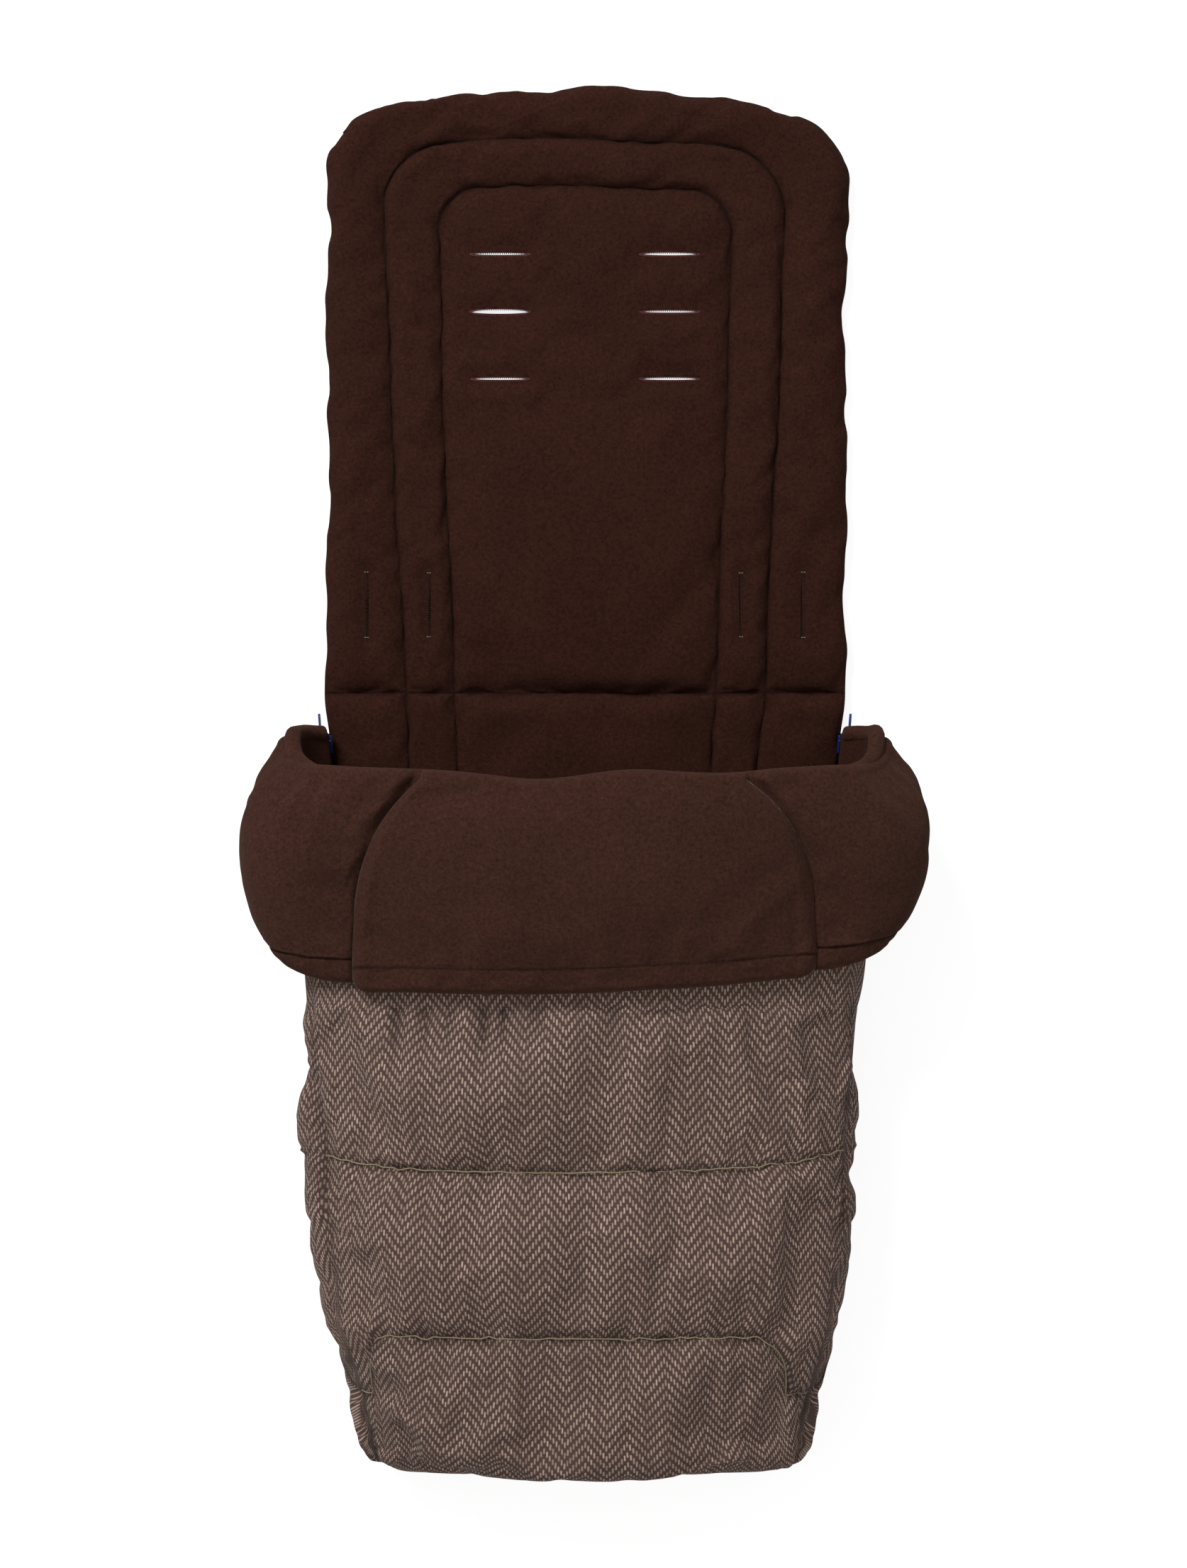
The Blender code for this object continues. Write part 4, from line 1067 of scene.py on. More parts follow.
# %% Harness slots: node, place, half-length, half-width and turn
CAMERA_HEIGHT = 2.6
SLOT_RUN = 0.0200
SLOT_BOTTOM = -0.0015
OVER_THE_TOP = 0.0050
SHOULDER_SLOTS_FROM_Y = 0.2
LAP_LEAN = 0.98
SLOTS = [
    ("shoulder_slot_edge_left_1", -0.057, HEAD_Y - 0.1107, 0.0195, 0.0007, 0),
    ("shoulder_slot_edge_left_2", -0.057, HEAD_Y - 0.1494, 0.0195, 0.0015, 0),
    ("shoulder_slot_edge_left_3", -0.057, HEAD_Y - 0.1946, 0.0190, 0.0007, 0),
    ("shoulder_slot_edge_right_1", 0.057, HEAD_Y - 0.1107, 0.0195, 0.0009, 0),
    ("shoulder_slot_edge_right_2", 0.057, HEAD_Y - 0.1494, 0.0195, 0.0007, 0),
    ("shoulder_slot_edge_right_3", 0.057, HEAD_Y - 0.1946, 0.0195, 0.0008, 0),
    ("lap_slot_edge_left_outer", -0.1469, CREASE_Y + 0.0590, 0.0220, 0.0004, 90),
    ("lap_slot_edge_left_inner", -0.1050, CREASE_Y + 0.0590, 0.0215, 0.0004, 90),
    ("lap_slot_edge_right_inner", 0.1050, CREASE_Y + 0.0590, 0.0215, 0.0004, 90),
    ("lap_slot_edge_right_outer", 0.1469, CREASE_Y + 0.0590, 0.0220, 0.0004, 90),
]

# %% Grid lines of the quilted liner
BACK_STEPS = 52
SEAT_STEPS = 60
CENTRE_STEPS = 16
BACK_DEPTHS = (0, 0.0352, 0.0662, HEAD_Y - CREASE_Y)
CORNER_RADII = (0.045, 0.038, 0.030, 0)
BESIDE_SEAM = (0.0004, 0.0011, 0.0023, 0.0042)
NARROW_BAND = 0.031
BAND_STEPS = 8
CENTRE_HALF = 0.095
BACK_LENGTH = 0.339
HEAD_HALVES = (0.1775, 0.1385, 0.1025)
CREASE_HALVES = (0.1757, 0.1210, 0.0880)
CREASE_FADE = 0.03


def half_widths(y):
    """Half the width at the outline, at both seams and at the middle line."""
    share = (HEAD_Y - y) / (HEAD_Y - CREASE_Y)
    if share <= 1:
        return [mix(head, crease, share) for head, crease in zip(HEAD_HALVES, CREASE_HALVES)] + [0]
    widest = CREASE_HALVES[0]
    outline = mix(widest, zip_line_x(y), smooth((CREASE_Y - y) / CREASE_FADE))
    return [outline] + [outline * half / widest for half in CREASE_HALVES[1:]] + [0]


def between(values, line):
    low = min(int(line), len(values) - 2)
    return mix(values[low], values[low + 1], line - low)


def graded(length, steps):
    """Shares of a length, close together beside the seams at both ends."""
    low = [0] + [gap / length for gap in BESIDE_SEAM]
    high = [1 - share for share in reversed(low)]
    return low + spread(low[-1], high[0], steps)[1:-1] + high


def band_lines():
    shares = graded(NARROW_BAND, BAND_STEPS)[:-1]
    return shares + [1 + share for share in shares]


def liner_lines():
    open_end = len(BESIDE_SEAM) + 1
    middle = [2 + share for share in graded(CENTRE_HALF, CENTRE_STEPS)[:-open_end]]
    half = band_lines() + middle + [3]
    left = [(-1, line) for line in half]
    return left + [(1, line) for line in reversed(half[:-1])]


LINER_COLUMNS = liner_lines()
LINER_ROWS = band_lines() + [2 + share for share in graded(BACK_LENGTH, BACK_STEPS)]
LINER_ROWS += [3 + share for share in graded(CREASE_Y - SEAT_END_Y, SEAT_STEPS)[1:]]


def row_y(row):
    if row <= 3:
        return HEAD_Y - between(BACK_DEPTHS, row)
    return mix(CREASE_Y, SEAT_END_Y, row - 3)


def liner_plan(column, row):
    side, line = column
    y = row_y(row)
    widths = half_widths(y)
    half = between(widths, line)
    if row < 3:
        ring = min(line, row)
        radius = between(CORNER_RADII, ring)
        top = row_y(ring)
        ring_half = between(widths, ring)
        along = top - y
        across = ring_half - half
        if max(along, across) < radius:
            angle = math.radians(45) * (1 + (across - along) / radius)
            half = ring_half - radius + radius * math.cos(angle)
            y = top - (radius - radius * math.sin(angle))
    return side * half, y


print("liner grid", len(LINER_COLUMNS), "by", len(LINER_ROWS), "lines")

# %% [markdown]
# Between its seams the padding rises to a flat crown. The head end sags at its corners, and the cloth
# is pressed down round each slot.

# %% Padding of the liner
LINER_SEAM_Z = 0.0126
LINER_EDGE_Z = 0.0098
LINER_CROWN_Z = 0.0196
CREST_RUN = 0.024
BAND_CREST = 5
END_CREST = 3
HEAD_DROOP = ((-1, 0.0117, 0.060), (1, 0.0160, 0.050))
DROOP_RUN = 0.11
DROOP_POWER = 1.5
DROOP_NEAR = (0.30, 0.13)
HEAD_RISE = 0.0030
HEAD_RISE_X = -0.02
HEAD_RISE_HALF = 0.10
SLOT_DIP_REACH = 0.0075


def droop(x, y):
    """The head end sags towards its corners and stands a little proud in the middle."""
    near = ramp(y, *DROOP_NEAR)
    shift = HEAD_RISE * (1 - smooth(abs(x - HEAD_RISE_X) / HEAD_RISE_HALF))
    for side, drop, begin in HEAD_DROOP:
        if x * side > 0:
            shift -= drop * ramp(abs(x), begin, DROOP_RUN) ** DROOP_POWER
    return shift * near


def seam_gap(column, row):
    """Distance in plan to the nearest quilting seam, in metres, about."""
    line = column[1]
    y = row_y(row)
    widths = half_widths(y)
    gaps = [abs(y - CREASE_Y)]
    for seam in (1, 2):
        across = abs(between(widths, line) - widths[seam])
        along = abs(row_y(row) - row_y(seam)) if row < 3 else 1
        inside_row = row >= seam
        inside_column = line >= seam
        if inside_row and inside_column:
            gaps.append(min(across, along))
        elif inside_row:
            gaps.append(across)
        elif inside_column:
            gaps.append(along)
        else:
            gaps.append(max(across, along))
    return min(gaps)


def risen(distance, sharpness):
    """How far the padding has risen at a distance from its seam."""
    return 1 - (1 - min(distance / CREST_RUN, 1)) ** sharpness


def liner_top(column, row):
    line = column[1]
    y = row_y(row)
    ring = min(line, row)
    widths = half_widths(y)
    if ring < 2:
        share = crest(ring % 1, BAND_CREST)
    else:
        run = widths[2] - between(widths, line)
        if row < 3:
            run = min(run, row_y(2) - y)
        share = risen(run, BAND_CREST)
    share *= risen(abs(y - CREASE_Y), BAND_CREST)
    share *= risen(abs(y - SEAT_END_Y), END_CREST)
    base = mix(LINER_EDGE_Z, LINER_SEAM_Z, min(ring, 1))
    return mix(base, LINER_CROWN_Z, share)


def slot_dip(x, y):
    """The cloth is pressed down towards the stitched edge of each slot."""
    deepest = 0
    for _, slot_x, slot_y, half_length, _, turn in SLOTS:
        across, along = abs(x - slot_x), abs(y - slot_y)
        if turn:
            across, along = along, across
        distance = math.hypot(max(across - half_length, 0), along)
        deepest = max(deepest, bell(distance, SLOT_DIP_REACH))
    return deepest


# %% Unevenness of the liner
LEFT_TAKE_IN = 0.0020
EDGE_WAVE = (0.0030, 15, 0.3)
EDGE_RIPPLE = (0.0016, 48, 4.1)
EDGE_TUCKS = (1, 30, 9.7)
EDGE_TUCK = 0.0016
EDGE_TUCK_RAMP = (0.18, 0.08)
EDGE_POWER = 1.5
SEAM_WANDER = (0.0022, 14, 7.7)
SEAM_FOLDS = (1, 75, 2.2)
SEAM_FOLD = 0.0013
SEAM_FOLD_RUN = 0.010
SEAM_FOLD_START = 0.002
BAND_TUCKS = (1, 60, 5.5)
BAND_TUCK = 0.0011
BAND_TUCK_RUN = 0.012
BAND_WIDTH = 0.035
LINER_SWELL = (0.0009, 18, 1)
RINGS_TO_FULL_LIFT = 8
SLOT_DIP = 0.0040
UNDER_EDGE_Z = 0.0062
UNDER_EDGE_RING = 0.3
UNDERSIDE_Z = 0.0002


def outline_wave(x, y):
    """Uneven edge: long waves, and short tucks where the binding is gathered."""
    tuck = ramp(ripple(EDGE_TUCKS, x, y), *EDGE_TUCK_RAMP)
    return ripple(EDGE_WAVE, x, y) + ripple(EDGE_RIPPLE, x, y) - EDGE_TUCK * tuck


def liner_outer(i, j):
    column, row = LINER_COLUMNS[i], LINER_ROWS[j]
    x, y = liner_plan(column, row)
    ring = min(column[1], row)
    fade = (1 - min(ring, 1)) ** EDGE_POWER * ramp(y, CREASE_Y, CREASE_FADE)
    push = (outline_wave(x, y) - (LEFT_TAKE_IN if x < 0 else 0)) * fade
    if column[1] <= row:
        push_x, push_y = (push if x > 0 else -push), 0
    else:
        push_x, push_y = 0, push
    wander = ripple(SEAM_WANDER, x, y) * min(ring, 1)
    if column[1] != 3:
        push_x += wander
    push_y += wander / 2 + droop(x, y)
    fold = ripple(SEAM_FOLDS, x, y) * beside_seam(seam_gap(column, row), SEAM_FOLD_RUN, SEAM_FOLD_START)
    tuck = ripple(BAND_TUCKS, x, y) * math.exp(-min(ring, 1) * BAND_WIDTH / BAND_TUCK_RUN)
    lift = SEAM_FOLD * fold + BAND_TUCK * tuck + ripple(LINER_SWELL, x, y)
    z = liner_top(column, row) + lift * min(ring * RINGS_TO_FULL_LIFT, 1)
    z -= SLOT_DIP * slot_dip(x, y)
    return Vector((x + push_x, y + push_y, z))


def liner_inner(i, j):
    column, row = LINER_COLUMNS[i], LINER_ROWS[j]
    place = liner_outer(i, j)
    ring = min(column[1], row)
    place.z = UNDER_EDGE_Z * (1 - min(ring / UNDER_EDGE_RING, 1)) ** 2 + UNDERSIDE_Z
    return place


# %% Sewing and filling the liner
# Width of the painted shade along the quilting seams.
LINER_SEAM_SHADE_WIDTH = 0.0011
SLOT_DIP_PINNED = 0.2
LINER_AIR = {"pressure": 1.5, "slack": 0.02, "frames": 12, "cap": 0.003}


def liner_is_sewn(i, j):
    column, row = LINER_COLUMNS[i], LINER_ROWS[j]
    line = column[1]
    ring = min(line, row)
    on_seam = any(math.isclose(ring, seam, abs_tol=1e-6) for seam in (0, 1, 2))
    return on_seam or math.isclose(row, 3, abs_tol=1e-6) or j == len(LINER_ROWS) - 1


def make_liner_pad():
    columns = list(range(len(LINER_COLUMNS)))
    rows = list(range(len(LINER_ROWS)))
    pad = grid_object("liner_pad", columns, rows, liner_outer, liner_inner)
    sewn = set()
    closeness = {}
    for i in columns:
        for j in rows:
            place = liner_outer(i, j)
            key = place_key(place)
            # Painted shade: the fleece darkens towards each quilting seam.
            closeness[key] = bell(seam_gap(LINER_COLUMNS[i], LINER_ROWS[j]), LINER_SEAM_SHADE_WIDTH)
            if liner_is_sewn(i, j) or slot_dip(place.x, place.y) > SLOT_DIP_PINNED:
                sewn.add(key)
    pins = []
    values = []
    for vert in pad.data.vertices:
        key = place_key(vert.co)
        values.append(closeness.get(key, 0))
        if key in sewn or key not in closeness:
            pins.append(vert.index)
    filled = fill_with_air(pad, pins, **LINER_AIR)
    for vert, place in zip(pad.data.vertices, filled):
        vert.co = place
    add_seam_shade(pad, values)
    dress(pad, LINER_FLEECE)
    subdivide(pad)
    return pad


liner_pad = make_liner_pad()
print("liner pad faces", len(liner_pad.data.polygons))

# %% [markdown]
# Harness slots are cut through all layers and oversewn. The shoulder slots gape a little, so that the
# ground shows through them. The lap slots stay closed.

# %% Harness slots
def surface_height(thing, x, y):
    hit, place, _, _ = thing.ray_cast(Vector((x, y, 1)), Vector((0, 0, -1)))
    return place.z if hit else LINER_SEAM_Z


def slot_place(slot, across, along):
    """A place in plan, from its offsets along and across a slot."""
    _, x, y, _, _, turn = slot
    return (x - along, y + across) if turn else (x + across, y + along)


def slot_outline(slot, grow):
    """Points round the eye-shaped edge of a slot."""
    points = []
    for step in range(SLOT_STITCHES):
        angle = 2 * math.pi * step / SLOT_STITCHES
        half_length, half_width = slot[3] + grow, slot[4] + grow
        points.append(slot_place(slot, half_length * math.cos(angle), half_width * math.sin(angle)))
    return points


def cut_slots(pad):
    """Cut each slot through the pad; shoulder slots point at the camera and lap slots lean from it."""
    cutter_mesh = bmesh.new()
    for slot in SLOTS:
        lean = LAP_LEAN if slot[-1] else 1 + SLOT_RUN / CAMERA_HEIGHT
        made = bmesh.ops.create_circle(cutter_mesh, cap_ends=True, radius=1, segments=32)
        for vert in made["verts"]:
            x, y = slot_place(slot, vert.co.x * slot[3], vert.co.y * slot[4])
            vert.co = (x * lean, y * lean, SLOT_BOTTOM)
    raised = bmesh.ops.extrude_face_region(cutter_mesh, geom=cutter_mesh.faces[:])
    for part in raised["geom"]:
        if isinstance(part, bmesh.types.BMVert):
            shoulder = part.co.y > SHOULDER_SLOTS_FROM_Y
            part.co *= 1 - (SLOT_RUN + OVER_THE_TOP) / CAMERA_HEIGHT if shoulder else 1 / LAP_LEAN
            part.co.z = SLOT_RUN + OVER_THE_TOP
    bmesh.ops.recalc_face_normals(cutter_mesh, faces=cutter_mesh.faces[:])
    cutter = mesh_object("slot_cutter", cutter_mesh)
    boolean = pad.modifiers.new("slots", "BOOLEAN")
    boolean.operation = "DIFFERENCE"
    boolean.solver = "EXACT"
    boolean.object = cutter
    bake(pad)
    bpy.data.objects.remove(cutter)


# %% Rows of stitches
def thread_object(name, stitches, radius, material, rings=1):
    """Tubes of thread through the given rows of points, as one mesh."""
    curve = bpy.data.curves.new(name, "CURVE")
    curve.dimensions = "3D"
    curve.bevel_depth = radius
    curve.bevel_resolution = rings
    curve.use_fill_caps = True
    for points in stitches:
        spline = curve.splines.new("POLY")
        spline.points.add(len(points) - 1)
        for point, place in zip(spline.points, points):
            point.co = (*place, 1)
    guide = place_object(name + "_guide", curve)
    data = finished_mesh(guide, name)
    bpy.data.objects.remove(guide)
    data.shade_smooth()
    thing = place_object(name, data)
    dress(thing, material)
    return thing


SLOT_STITCHES = 84
STITCH_RADIUS = 0.00030
STITCH_REACH = 0.0013
STITCH_START = 0.0022
STITCH_TURN = 0.0004
STITCH_END = 0.0006
STITCH_PROUD = 0.0002
STITCH_UNEVEN = 0.0002
STITCH_BEAT = 2.4
TACK_HALF = 0.0013
TACK_RADIUS = 0.00035
TACK_PROUD = 0.0001

# %% Stitches round the slots
def oversewn_edge(slot):
    """Short stitches across the edge of a slot, side by side."""
    edges = zip(slot_outline(slot, 0), slot_outline(slot, STITCH_REACH))
    stitches = []
    for number, (near, far) in enumerate(edges):
        z = surface_height(liner_pad, *far)
        middle = ((near[0] + far[0]) / 2, (near[1] + far[1]) / 2)
        top = z + STITCH_PROUD + STITCH_UNEVEN * math.sin(number * STITCH_BEAT)
        rise = [(near, z - STITCH_START), (near, z - STITCH_TURN), (middle, top), (far, z - STITCH_END)]
        stitches.append([(*spot, height) for spot, height in rise])
    material = BROWN_THREAD if slot[-1] else MAROON_THREAD
    edge = thread_object(slot[0].replace("_edge", "_stitching"), stitches, STITCH_RADIUS, material)
    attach(edge, "back_section")
    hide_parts(slot[0])


def bar_tacks():
    """A short light stitch across each end of a lap slot, which takes its strain."""
    stitches = []
    for _, x, y, half_length, _, turn in SLOTS:
        for tack_y in (y - half_length, y + half_length) if turn else ():
            points = [(tack_x, tack_y) for tack_x in (x - TACK_HALF, x, x + TACK_HALF)]
            stitches.append([(*point, surface_height(liner_pad, *point) + TACK_PROUD) for point in points])
    tacks = thread_object("lap_slot_bar_tacks", stitches, TACK_RADIUS, THREAD_AND_SEAM_HIGHLIGHT)
    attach(tacks, "back_section")


for slot in SLOTS:
    oversewn_edge(slot)
bar_tacks()
cut_slots(liner_pad)
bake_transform(liner_pad)
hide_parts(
    "seat_fleece", "seat_wadding", "seat_rear_cloth", "back_fleece", "back_wadding", "back_rear_cloth",
)
print("slots cut", len(SLOTS), "faces", len(liner_pad.data.polygons))

# %% The pouch rides on the apron
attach(pouch_shell, "apron")
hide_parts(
    "apron_lining", "upper_panel", "upper_panel_wadding", "middle_panel", "middle_panel_wadding",
    "toe_panel", "toe_panel_wadding", "gusset_left", "gusset_wadding_left", "gusset_right",
    "gusset_wadding_right",
)

# %% [markdown]
# At each cross seam the raw edges are turned in, and a light tube along the folded edge is a painted
# highlight where that edge catches the light. It wanders a little, because the cloth above it is gathered.

# %% Folded edges of the cross seams
FOLD_PROUD = 0.0012
FOLD_SET_BACK = 0.0004
FOLD_WANDER = 0.0026
FOLD_CELLS = 120
FOLD_RADIUS = 0.00048


def seam_fold(name, row):
    points = []
    for column in range(SIDE_SEAMS[0], SIDE_SEAMS[1] + 1):
        place = SHELL_PLACES[(column, row)].copy()
        place.z += FOLD_PROUD
        place.y -= FOLD_SET_BACK + line_ripple((FOLD_WANDER, FOLD_CELLS, row), place.x)
        points.append(place)
    # The tube's light thread colour is a painted highlight on the folded edge.
    fold = thread_object(name, [points], FOLD_RADIUS, THREAD_AND_SEAM_HIGHLIGHT)
    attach(fold, "apron")


seam_fold("cross_seam_upper", SEAM_ONE_ROW)
seam_fold("cross_seam_lower", SEAM_TWO_ROW)

# %% [markdown]
# The cuff is the top of the lining, turned out and down over the mouth. Its centre flap laps over two
# side wings. Each piece rolls over the rim of the mouth and is stitched along its hem.

# %% Layout of the cuff
CUFF_BASE = 0.0090
CUFF_CORNER = 0.012
ROLL_STEPS = 10
ROLL_REACH = 0.0060
HEM_LINE = 0.880
HEM_WIDTH = 0.009
HEM_GROOVE = 0.0019
CLOTH_AT_EDGE = 0.0024
LAP = 0.0070
LAP_LIFT = 0.0034
FLAP_ROUND = 0.055
WING_UNDER = 0.055
FLAP_HALF_TOP = 0.105
FLAP_HALF_HEM = 0.151
FLAP_SPREAD = 3.6
RIGHT_HEM_RISE = 0.0100
RIGHT_HEM_RUN = 0.16
FLAP_HEM_WAVE = (0.0022, 13, 5.2)
WING_HEM_WAVE = (0.0016, 13, 8.1)
RIM_WAVE = (0.0030, 16, 0.4)
RIM_WAVE_ROWS = 0.4
RIM_SAG = 0.0050
RIM_SAG_X = -0.036
RIM_SAG_WIDTH = 0.045
RIM_FALL = 0.0110
RIM_FALL_SIDE = (0.30, 0.60)
RIM_FALL_ROWS = 0.55
WING_DROPS = {-1: (0.955, 0.79), 1: (0.895, 0.66)}
WING_DROP_POWER = 2.2
WING_LOW_ANGLE = math.radians(-8)
ROLL_LENGTH = 0.024
FLAP_WIDTH = 0.305
WING_WIDTH = 0.150


def cuff_half_width(y):
    """Half the width of the centre flap, and how far its rounded corner draws it in."""
    share = clamp((MOUTH_Y - y) / CUFF_DROP)
    half = mix(FLAP_HALF_TOP, FLAP_HALF_HEM, 1 - (1 - share) ** FLAP_SPREAD)
    rest = CUFF_CORNER - min((1 - share) * CUFF_DROP, CUFF_CORNER)
    return half, CUFF_CORNER - math.sqrt(max(CUFF_CORNER**2 - rest**2, 0))


def turn_for(x, station, depth):
    half = (zip_line_x(station) + CLEARANCE) / profile(TUCK)[0]
    share = min(x / (half + depth), 1)
    return turn_at(math.acos(share ** (ARCH_EXPONENT / 2)), station)


def rim_wave(x, row):
    """The rim of the cuff sags a little left of the middle, and wanders."""
    near = 1 - smooth(max(row, 0) / RIM_WAVE_ROWS)
    return near * (line_ripple(RIM_WAVE, x) - RIM_SAG * bell(x - RIM_SAG_X, RIM_SAG_WIDTH))


# %% Places of the flap and the wings
def centre_place(column, row, depth):
    """A place of the centre flap: row 0 at the rim and 1 at the hem."""
    station = mix(MOUTH_Y, HEM_Y, row)
    half, corner = cuff_half_width(station)
    x = (half - corner) * (1 - 2 * column)
    turn = turn_for(abs(x), station, depth)
    place = arch_point(turn if x > 0 else 1 - turn, station, depth)
    place.y += RIGHT_HEM_RISE * smooth(place.x / RIGHT_HEM_RUN) * row
    place.y += rim_wave(place.x, row) + line_ripple(FLAP_HEM_WAVE, place.x) * row
    return place


def wing_place(side, column, row, depth):
    """A place of a wing: column 0 lies under the centre flap and 1 at the zip."""
    near, far = WING_DROPS[side]
    drop = CUFF_DROP * mix(near, far, column**WING_DROP_POWER)
    station = MOUTH_Y - drop * row
    half = cuff_half_width(MOUTH_Y - CUFF_DROP * near * row)[0]
    turn = mix(turn_for(half - LAP, station, depth), turn_at(WING_LOW_ANGLE), column)
    place = arch_point(1 - turn if side > 0 else turn, station, depth)
    place.y += rim_wave(place.x, row) + line_ripple(WING_HEM_WAVE, place.x) * row
    near_rim = 1 - smooth(max(row, 0) / RIM_FALL_ROWS)
    place.y -= RIM_FALL * ramp(column, *RIM_FALL_SIDE) * near_rim
    return place


# %% Rows and columns of the cuff
ROLL_ROWS = [-1 + step / ROLL_STEPS for step in range(ROLL_STEPS)]
CUFF_ROWS = ROLL_ROWS + stretches((0, 0.855, 28), (0.855, 0.905, 10), (0.905, 1, 9))
FLAP_COLUMNS = stretches((0, 0.06, 6), (0.06, 0.94, 44), (0.94, 1, 6))
WING_COLUMNS = stretches((0, 0.11, 10), (0.11, 0.93, 30), (0.93, 1, 6))

# %% Padding of the cuff
FLAP_END_ROUND = 0.045
FLAP_PADDING = (0.0088, 0.0112)
WING_SIDE_ROUND = 0.07
WING_END_ROUND = 0.06
WING_PADDING = (0.0070, 0.0330)
WING_RIM_PADDING = 0.0022
WING_RIM_SIDE = (0.25, 0.5)
WING_RIM_ROWS = 0.25
WING_RISE_RUN = 0.55
WING_FALL = 0.45
WING_FALL_SIDE = (0.72, 0.28)
WING_CREST = 2.1
WING_CREST_START = 0.005
WING_CREST_SPAN = 0.96
WING_FOLDS = (0.0045, 9, 1.3)
WING_FOLD_ROWS = 0.7


def rounded(share):
    return math.sqrt(1 - (1 - clamp(share)) ** 2)


def flap_fullness(column, row):
    """Padding of the centre flap: round at its free edges, level between, drawn in at the hem line."""
    side = rounded(min(column, 1 - column) / FLAP_ROUND)
    end = rounded((1 - row) / FLAP_END_ROUND)
    return mix(*FLAP_PADDING, crest(column) * crest(max(row, 0), 4)) * side * end


def wing_fullness(column, row):
    """Padding of a wing: flat where the flap lies on it, and swelling to a full round shoulder."""
    down = max(row, 0)
    side = rounded((column - WING_UNDER) / WING_SIDE_ROUND) * rounded((1 - column) / WING_SIDE_ROUND)
    end = rounded((1 - row) / WING_END_ROUND)
    swell = ramp(column, WING_UNDER, WING_RISE_RUN)
    swell *= 1 - WING_FALL * ramp(column, *WING_FALL_SIDE)
    swell *= crest(min(down * WING_CREST_SPAN + WING_CREST_START, 1), WING_CREST)
    rim = ramp(column, *WING_RIM_SIDE) * (1 - smooth(down / WING_RIM_ROWS))
    fold = line_ripple(WING_FOLDS, column) * (1 - smooth(down / WING_FOLD_ROWS))
    least, full = WING_PADDING
    return (mix(mix(least, WING_RIM_PADDING, rim), full, swell) + fold) * side * end


# %% Sewing and filling a cuff piece
CUFF_SWELL = (0.0013, 24)
CUFF_DIMPLES = (0.0006, 65)
FULL_PADDING = 0.004
ROLL_OUTER_LOW = 0.0006
ROLL_INNER_LOW = 0.0002
ROLL_INNER_REACH = 0.0010
ROLL_SET_BACK = 0.0006
# Width of the painted shade along the cuff's hem line.
HEM_SHADE_WIDTH = 0.0010
HEM_PIN_ROWS = 0.004
SEWN_SHARE = 0.02
SEWN_END = 0.97
CUFF_AIR = {"pressure": 1.2, "slack": 0.02, "frames": 10, "cap": 0.003}


def make_cuff(name, place, columns, width, full, lift, nodes):
    """A cuff piece, laid out by place, padded by full and raised by lift."""

    def top(column, row):
        spot = place(column, max(row, 0), CUFF_BASE)
        swell = ripple_at(CUFF_SWELL, spot) + ripple_at(CUFF_DIMPLES, spot)
        groove = HEM_GROOVE * bell(row - HEM_LINE, HEM_WIDTH)
        padding = full(column, row)
        depth = CUFF_BASE + lift(column) + CLOTH_AT_EDGE + padding
        return depth + (swell - groove) * min(padding / FULL_PADDING, 1)

    def roll(column, row, low, high, reach):
        """A place where the cloth turns over the rim of the mouth."""
        share = 1 + row
        spot = place(column, 0, mix(low, high, (1 - math.cos(math.pi * share)) / 2))
        spot.y += reach * math.sin(math.pi * share)
        return spot

    def outer(i, j):
        column, row = columns[i], CUFF_ROWS[j]
        if row >= 0:
            return place(column, row, top(column, row))
        return roll(column, row, ROLL_OUTER_LOW, top(column, 0), ROLL_REACH)

    def inner(i, j):
        column, row = columns[i], CUFF_ROWS[j]
        if row >= 0:
            return place(column, row, CUFF_BASE + lift(column))
        spot = roll(column, row, ROLL_INNER_LOW, CUFF_BASE + lift(column), ROLL_INNER_REACH)
        spot.y += ROLL_SET_BACK
        return spot

    def cloth_uv(i, j):
        row = CUFF_ROWS[j]
        return columns[i] * width, row * (CUFF_DROP if row > 0 else ROLL_LENGTH)

    cuff = grid_object(name, columns, CUFF_ROWS, outer, inner, cloth_uv, 1)
    shares = {}
    for i, column in enumerate(columns):
        for j, row in enumerate(CUFF_ROWS):
            shares[place_key(outer(i, j))] = (column, row)
    pins, hem_shades = [], []
    for vert in cuff.data.vertices:
        column, row = shares.get(place_key(vert.co), (0, 0))
        inside = SEWN_SHARE < column < 1 - SEWN_SHARE and SEWN_SHARE < row < SEWN_END
        if not inside or abs(row - HEM_LINE) <= HEM_PIN_ROWS:
            pins.append(vert.index)
        # Painted shade along the hem's groove.
        hem_shades.append(bell((row - HEM_LINE) * CUFF_DROP, HEM_SHADE_WIDTH))
    for vert, spot in zip(cuff.data.vertices, fill_with_air(cuff, pins, **CUFF_AIR)):
        vert.co = spot
    add_seam_shade(cuff, hem_shades)
    dress(cuff, CUFF_FLEECE_LIT, HERRINGBONE)
    subdivide(cuff)
    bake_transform(cuff)
    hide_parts(*nodes)
    return cuff


# %% The centre flap and the wings
def flap_lift(column):
    """The centre flap's sides stand higher, where they lie on the wings."""
    return LAP_LIFT * (1 - smooth(min(column, 1 - column) / FLAP_ROUND))


def no_lift(column):
    return 0.0


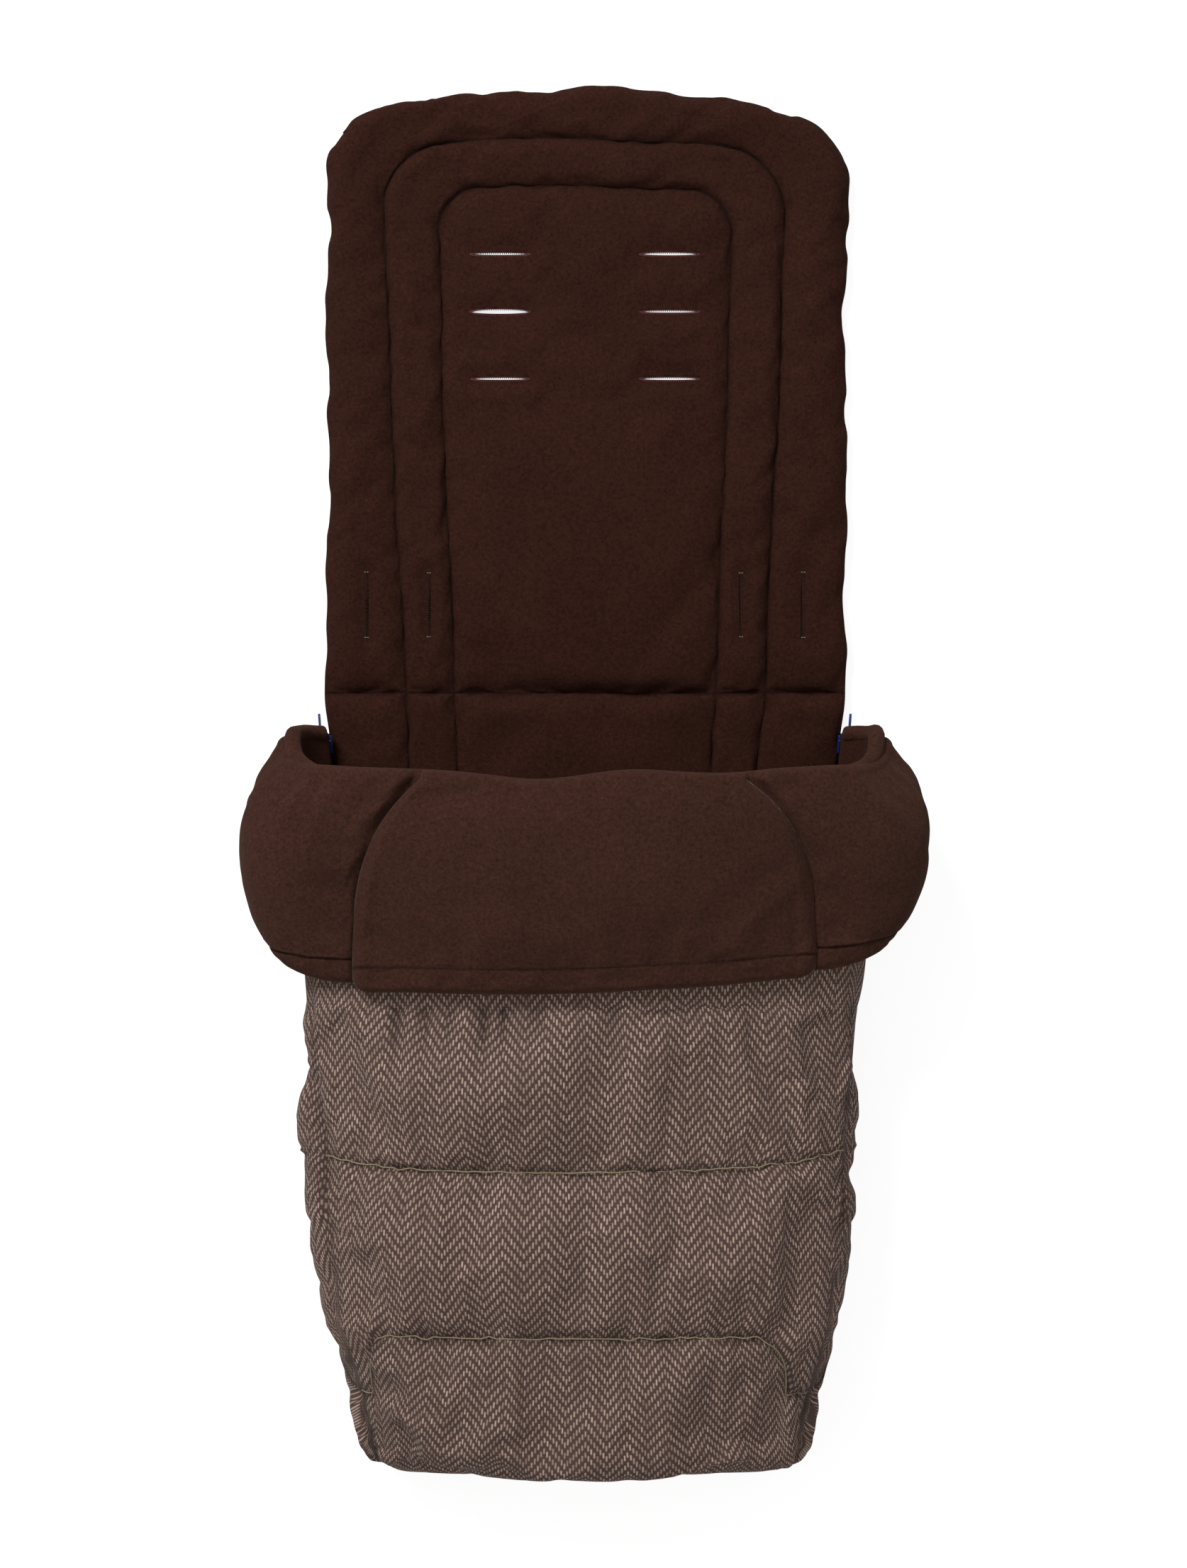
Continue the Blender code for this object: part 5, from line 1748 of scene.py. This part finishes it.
cuff_centre = make_cuff(
    "cuff_centre_flap", centre_place, FLAP_COLUMNS, FLAP_WIDTH, flap_fullness, flap_lift,
    ("cuff_centre_backing", "cuff_centre_wadding", "cuff_centre_fleece"),
)
for hand, side in (("left", -1), ("right", 1)):
    rim = wing_place(side, 0.1, 0, CUFF_BASE)
    make_cuff(
        f"cuff_side_wing_{hand}", lambda c, r, d, side=side: wing_place(side, c, r, d), WING_COLUMNS,
        WING_WIDTH, wing_fullness, no_lift,
        (f"cuff_backing_{hand}", f"cuff_wadding_{hand}", f"cuff_wing_{hand}"),
    )


# %% [markdown]
# Below each wing the fleece lining is turned over the rim and bound, down to the zip.

# %% Bound edge of the mouth beside each zip
BINDING_STEPS = 26
BINDING_RADIUS = 0.0055
BINDING_SET_BACK = 0.0035
BINDING_DEPTH = 0.0042
BINDING_RIPPLE = (0.0012, 60)
BINDING_ANGLE = 0.9
BINDING_END_TURN = 0.004

for hand, side in (("left", -1), ("right", 1)):
    points = []
    for turn in spread(turn_at(BINDING_ANGLE), BINDING_END_TURN, BINDING_STEPS):
        place = arch_point(1 - turn if side > 0 else turn, MOUTH_Y, BINDING_DEPTH)
        place.y += ripple_at(BINDING_RIPPLE, place) - BINDING_SET_BACK
        points.append(place)
    binding = thread_object(f"mouth_binding_{hand}", [points], BINDING_RADIUS, CUFF_FLEECE_LIT, rings=4)
    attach(binding, "apron")
print("cuff faces", len(cuff_centre.data.polygons))

# %% [markdown]
# The zips keep their CAD solids, and get woven tape, moulded teeth and blue enamel.

# %% Zips
for name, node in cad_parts.items():
    if name.startswith("zip_tape"):
        dress(node, ZIP_TAPE)
    elif name.startswith("zip_teeth"):
        dress(node, ZIP_TEETH)
    elif name.startswith("zip_"):
        dress(node, BLUE_ENAMEL)


# %% [markdown]
# A white floor in a white room, soft light from above the head end, and a camera that looks straight
# down, as in the photo.

# %% Floor
FLOOR_SIZE = 6
FLOOR_Z = -0.0005
FLOOR_GLOW = 0.87
FRAME_HEIGHT = 1.0618
CAMERA_X = 0.0058
LIT_PLACE = Vector((0, 0, 0.05))


def make_floor():
    """A floor that takes the object's shadow and looks white to the camera."""
    mesh = bmesh.new()
    bmesh.ops.create_grid(mesh, x_segments=1, y_segments=1, size=FLOOR_SIZE)
    floor = mesh_object("floor", mesh)
    floor.location.z = FLOOR_Z
    material, tree, shader = new_material("white_floor")
    rays = new_node(tree, "LightPath", {})
    glow = math_node(tree, "MULTIPLY", rays.outputs["Is Camera Ray"], FLOOR_GLOW)
    feed(tree, shader, {
        "Base Color": (0.30, 0.30, 0.30, 1), "Roughness": 0.9, "Specular IOR Level": 0.0,
        "Emission Color": (1, 1, 1, 1), "Emission Strength": glow,
    })
    dress(floor, material)


make_floor()

# %% Light
def area_light(name, place, size, power):
    light = bpy.data.lights.new(name, "AREA")
    light.shape = "DISK"
    light.size = size
    light.energy = power
    lamp = place_object(name, light)
    lamp.location = place
    lamp.rotation_euler = (LIT_PLACE - Vector(place)).to_track_quat("-Z", "Y").to_euler()


def white_room(strength):
    world = bpy.data.worlds.new("white_room")
    bpy.context.scene.world = world
    world.use_nodes = True
    tree = world.node_tree
    rays = new_node(tree, "LightPath", {})
    level = math_node(tree, "MULTIPLY_ADD", rays.outputs["Is Camera Ray"], 1 - strength, strength)
    feed(tree, tree.nodes["Background"], {"Color": (1, 1, 1, 1), "Strength": level})


area_light("key_above_head", (-1.4, 2.2, 2.3), size=1.4, power=84)
area_light("fill_from_foot", (0.2, -2.4, 2.2), size=2.2, power=5)
white_room(strength=0.45)

# %% Camera
camera_data = bpy.data.cameras.new("photo_camera")
camera_data.sensor_fit = "AUTO"
camera_data.lens = camera_data.sensor_width * CAMERA_HEIGHT / FRAME_HEIGHT
camera = place_object("photo_camera", camera_data)
camera.location = (CAMERA_X, 0, CAMERA_HEIGHT)
bpy.context.scene.camera = camera
bpy.context.scene.view_settings.view_transform = "Standard"
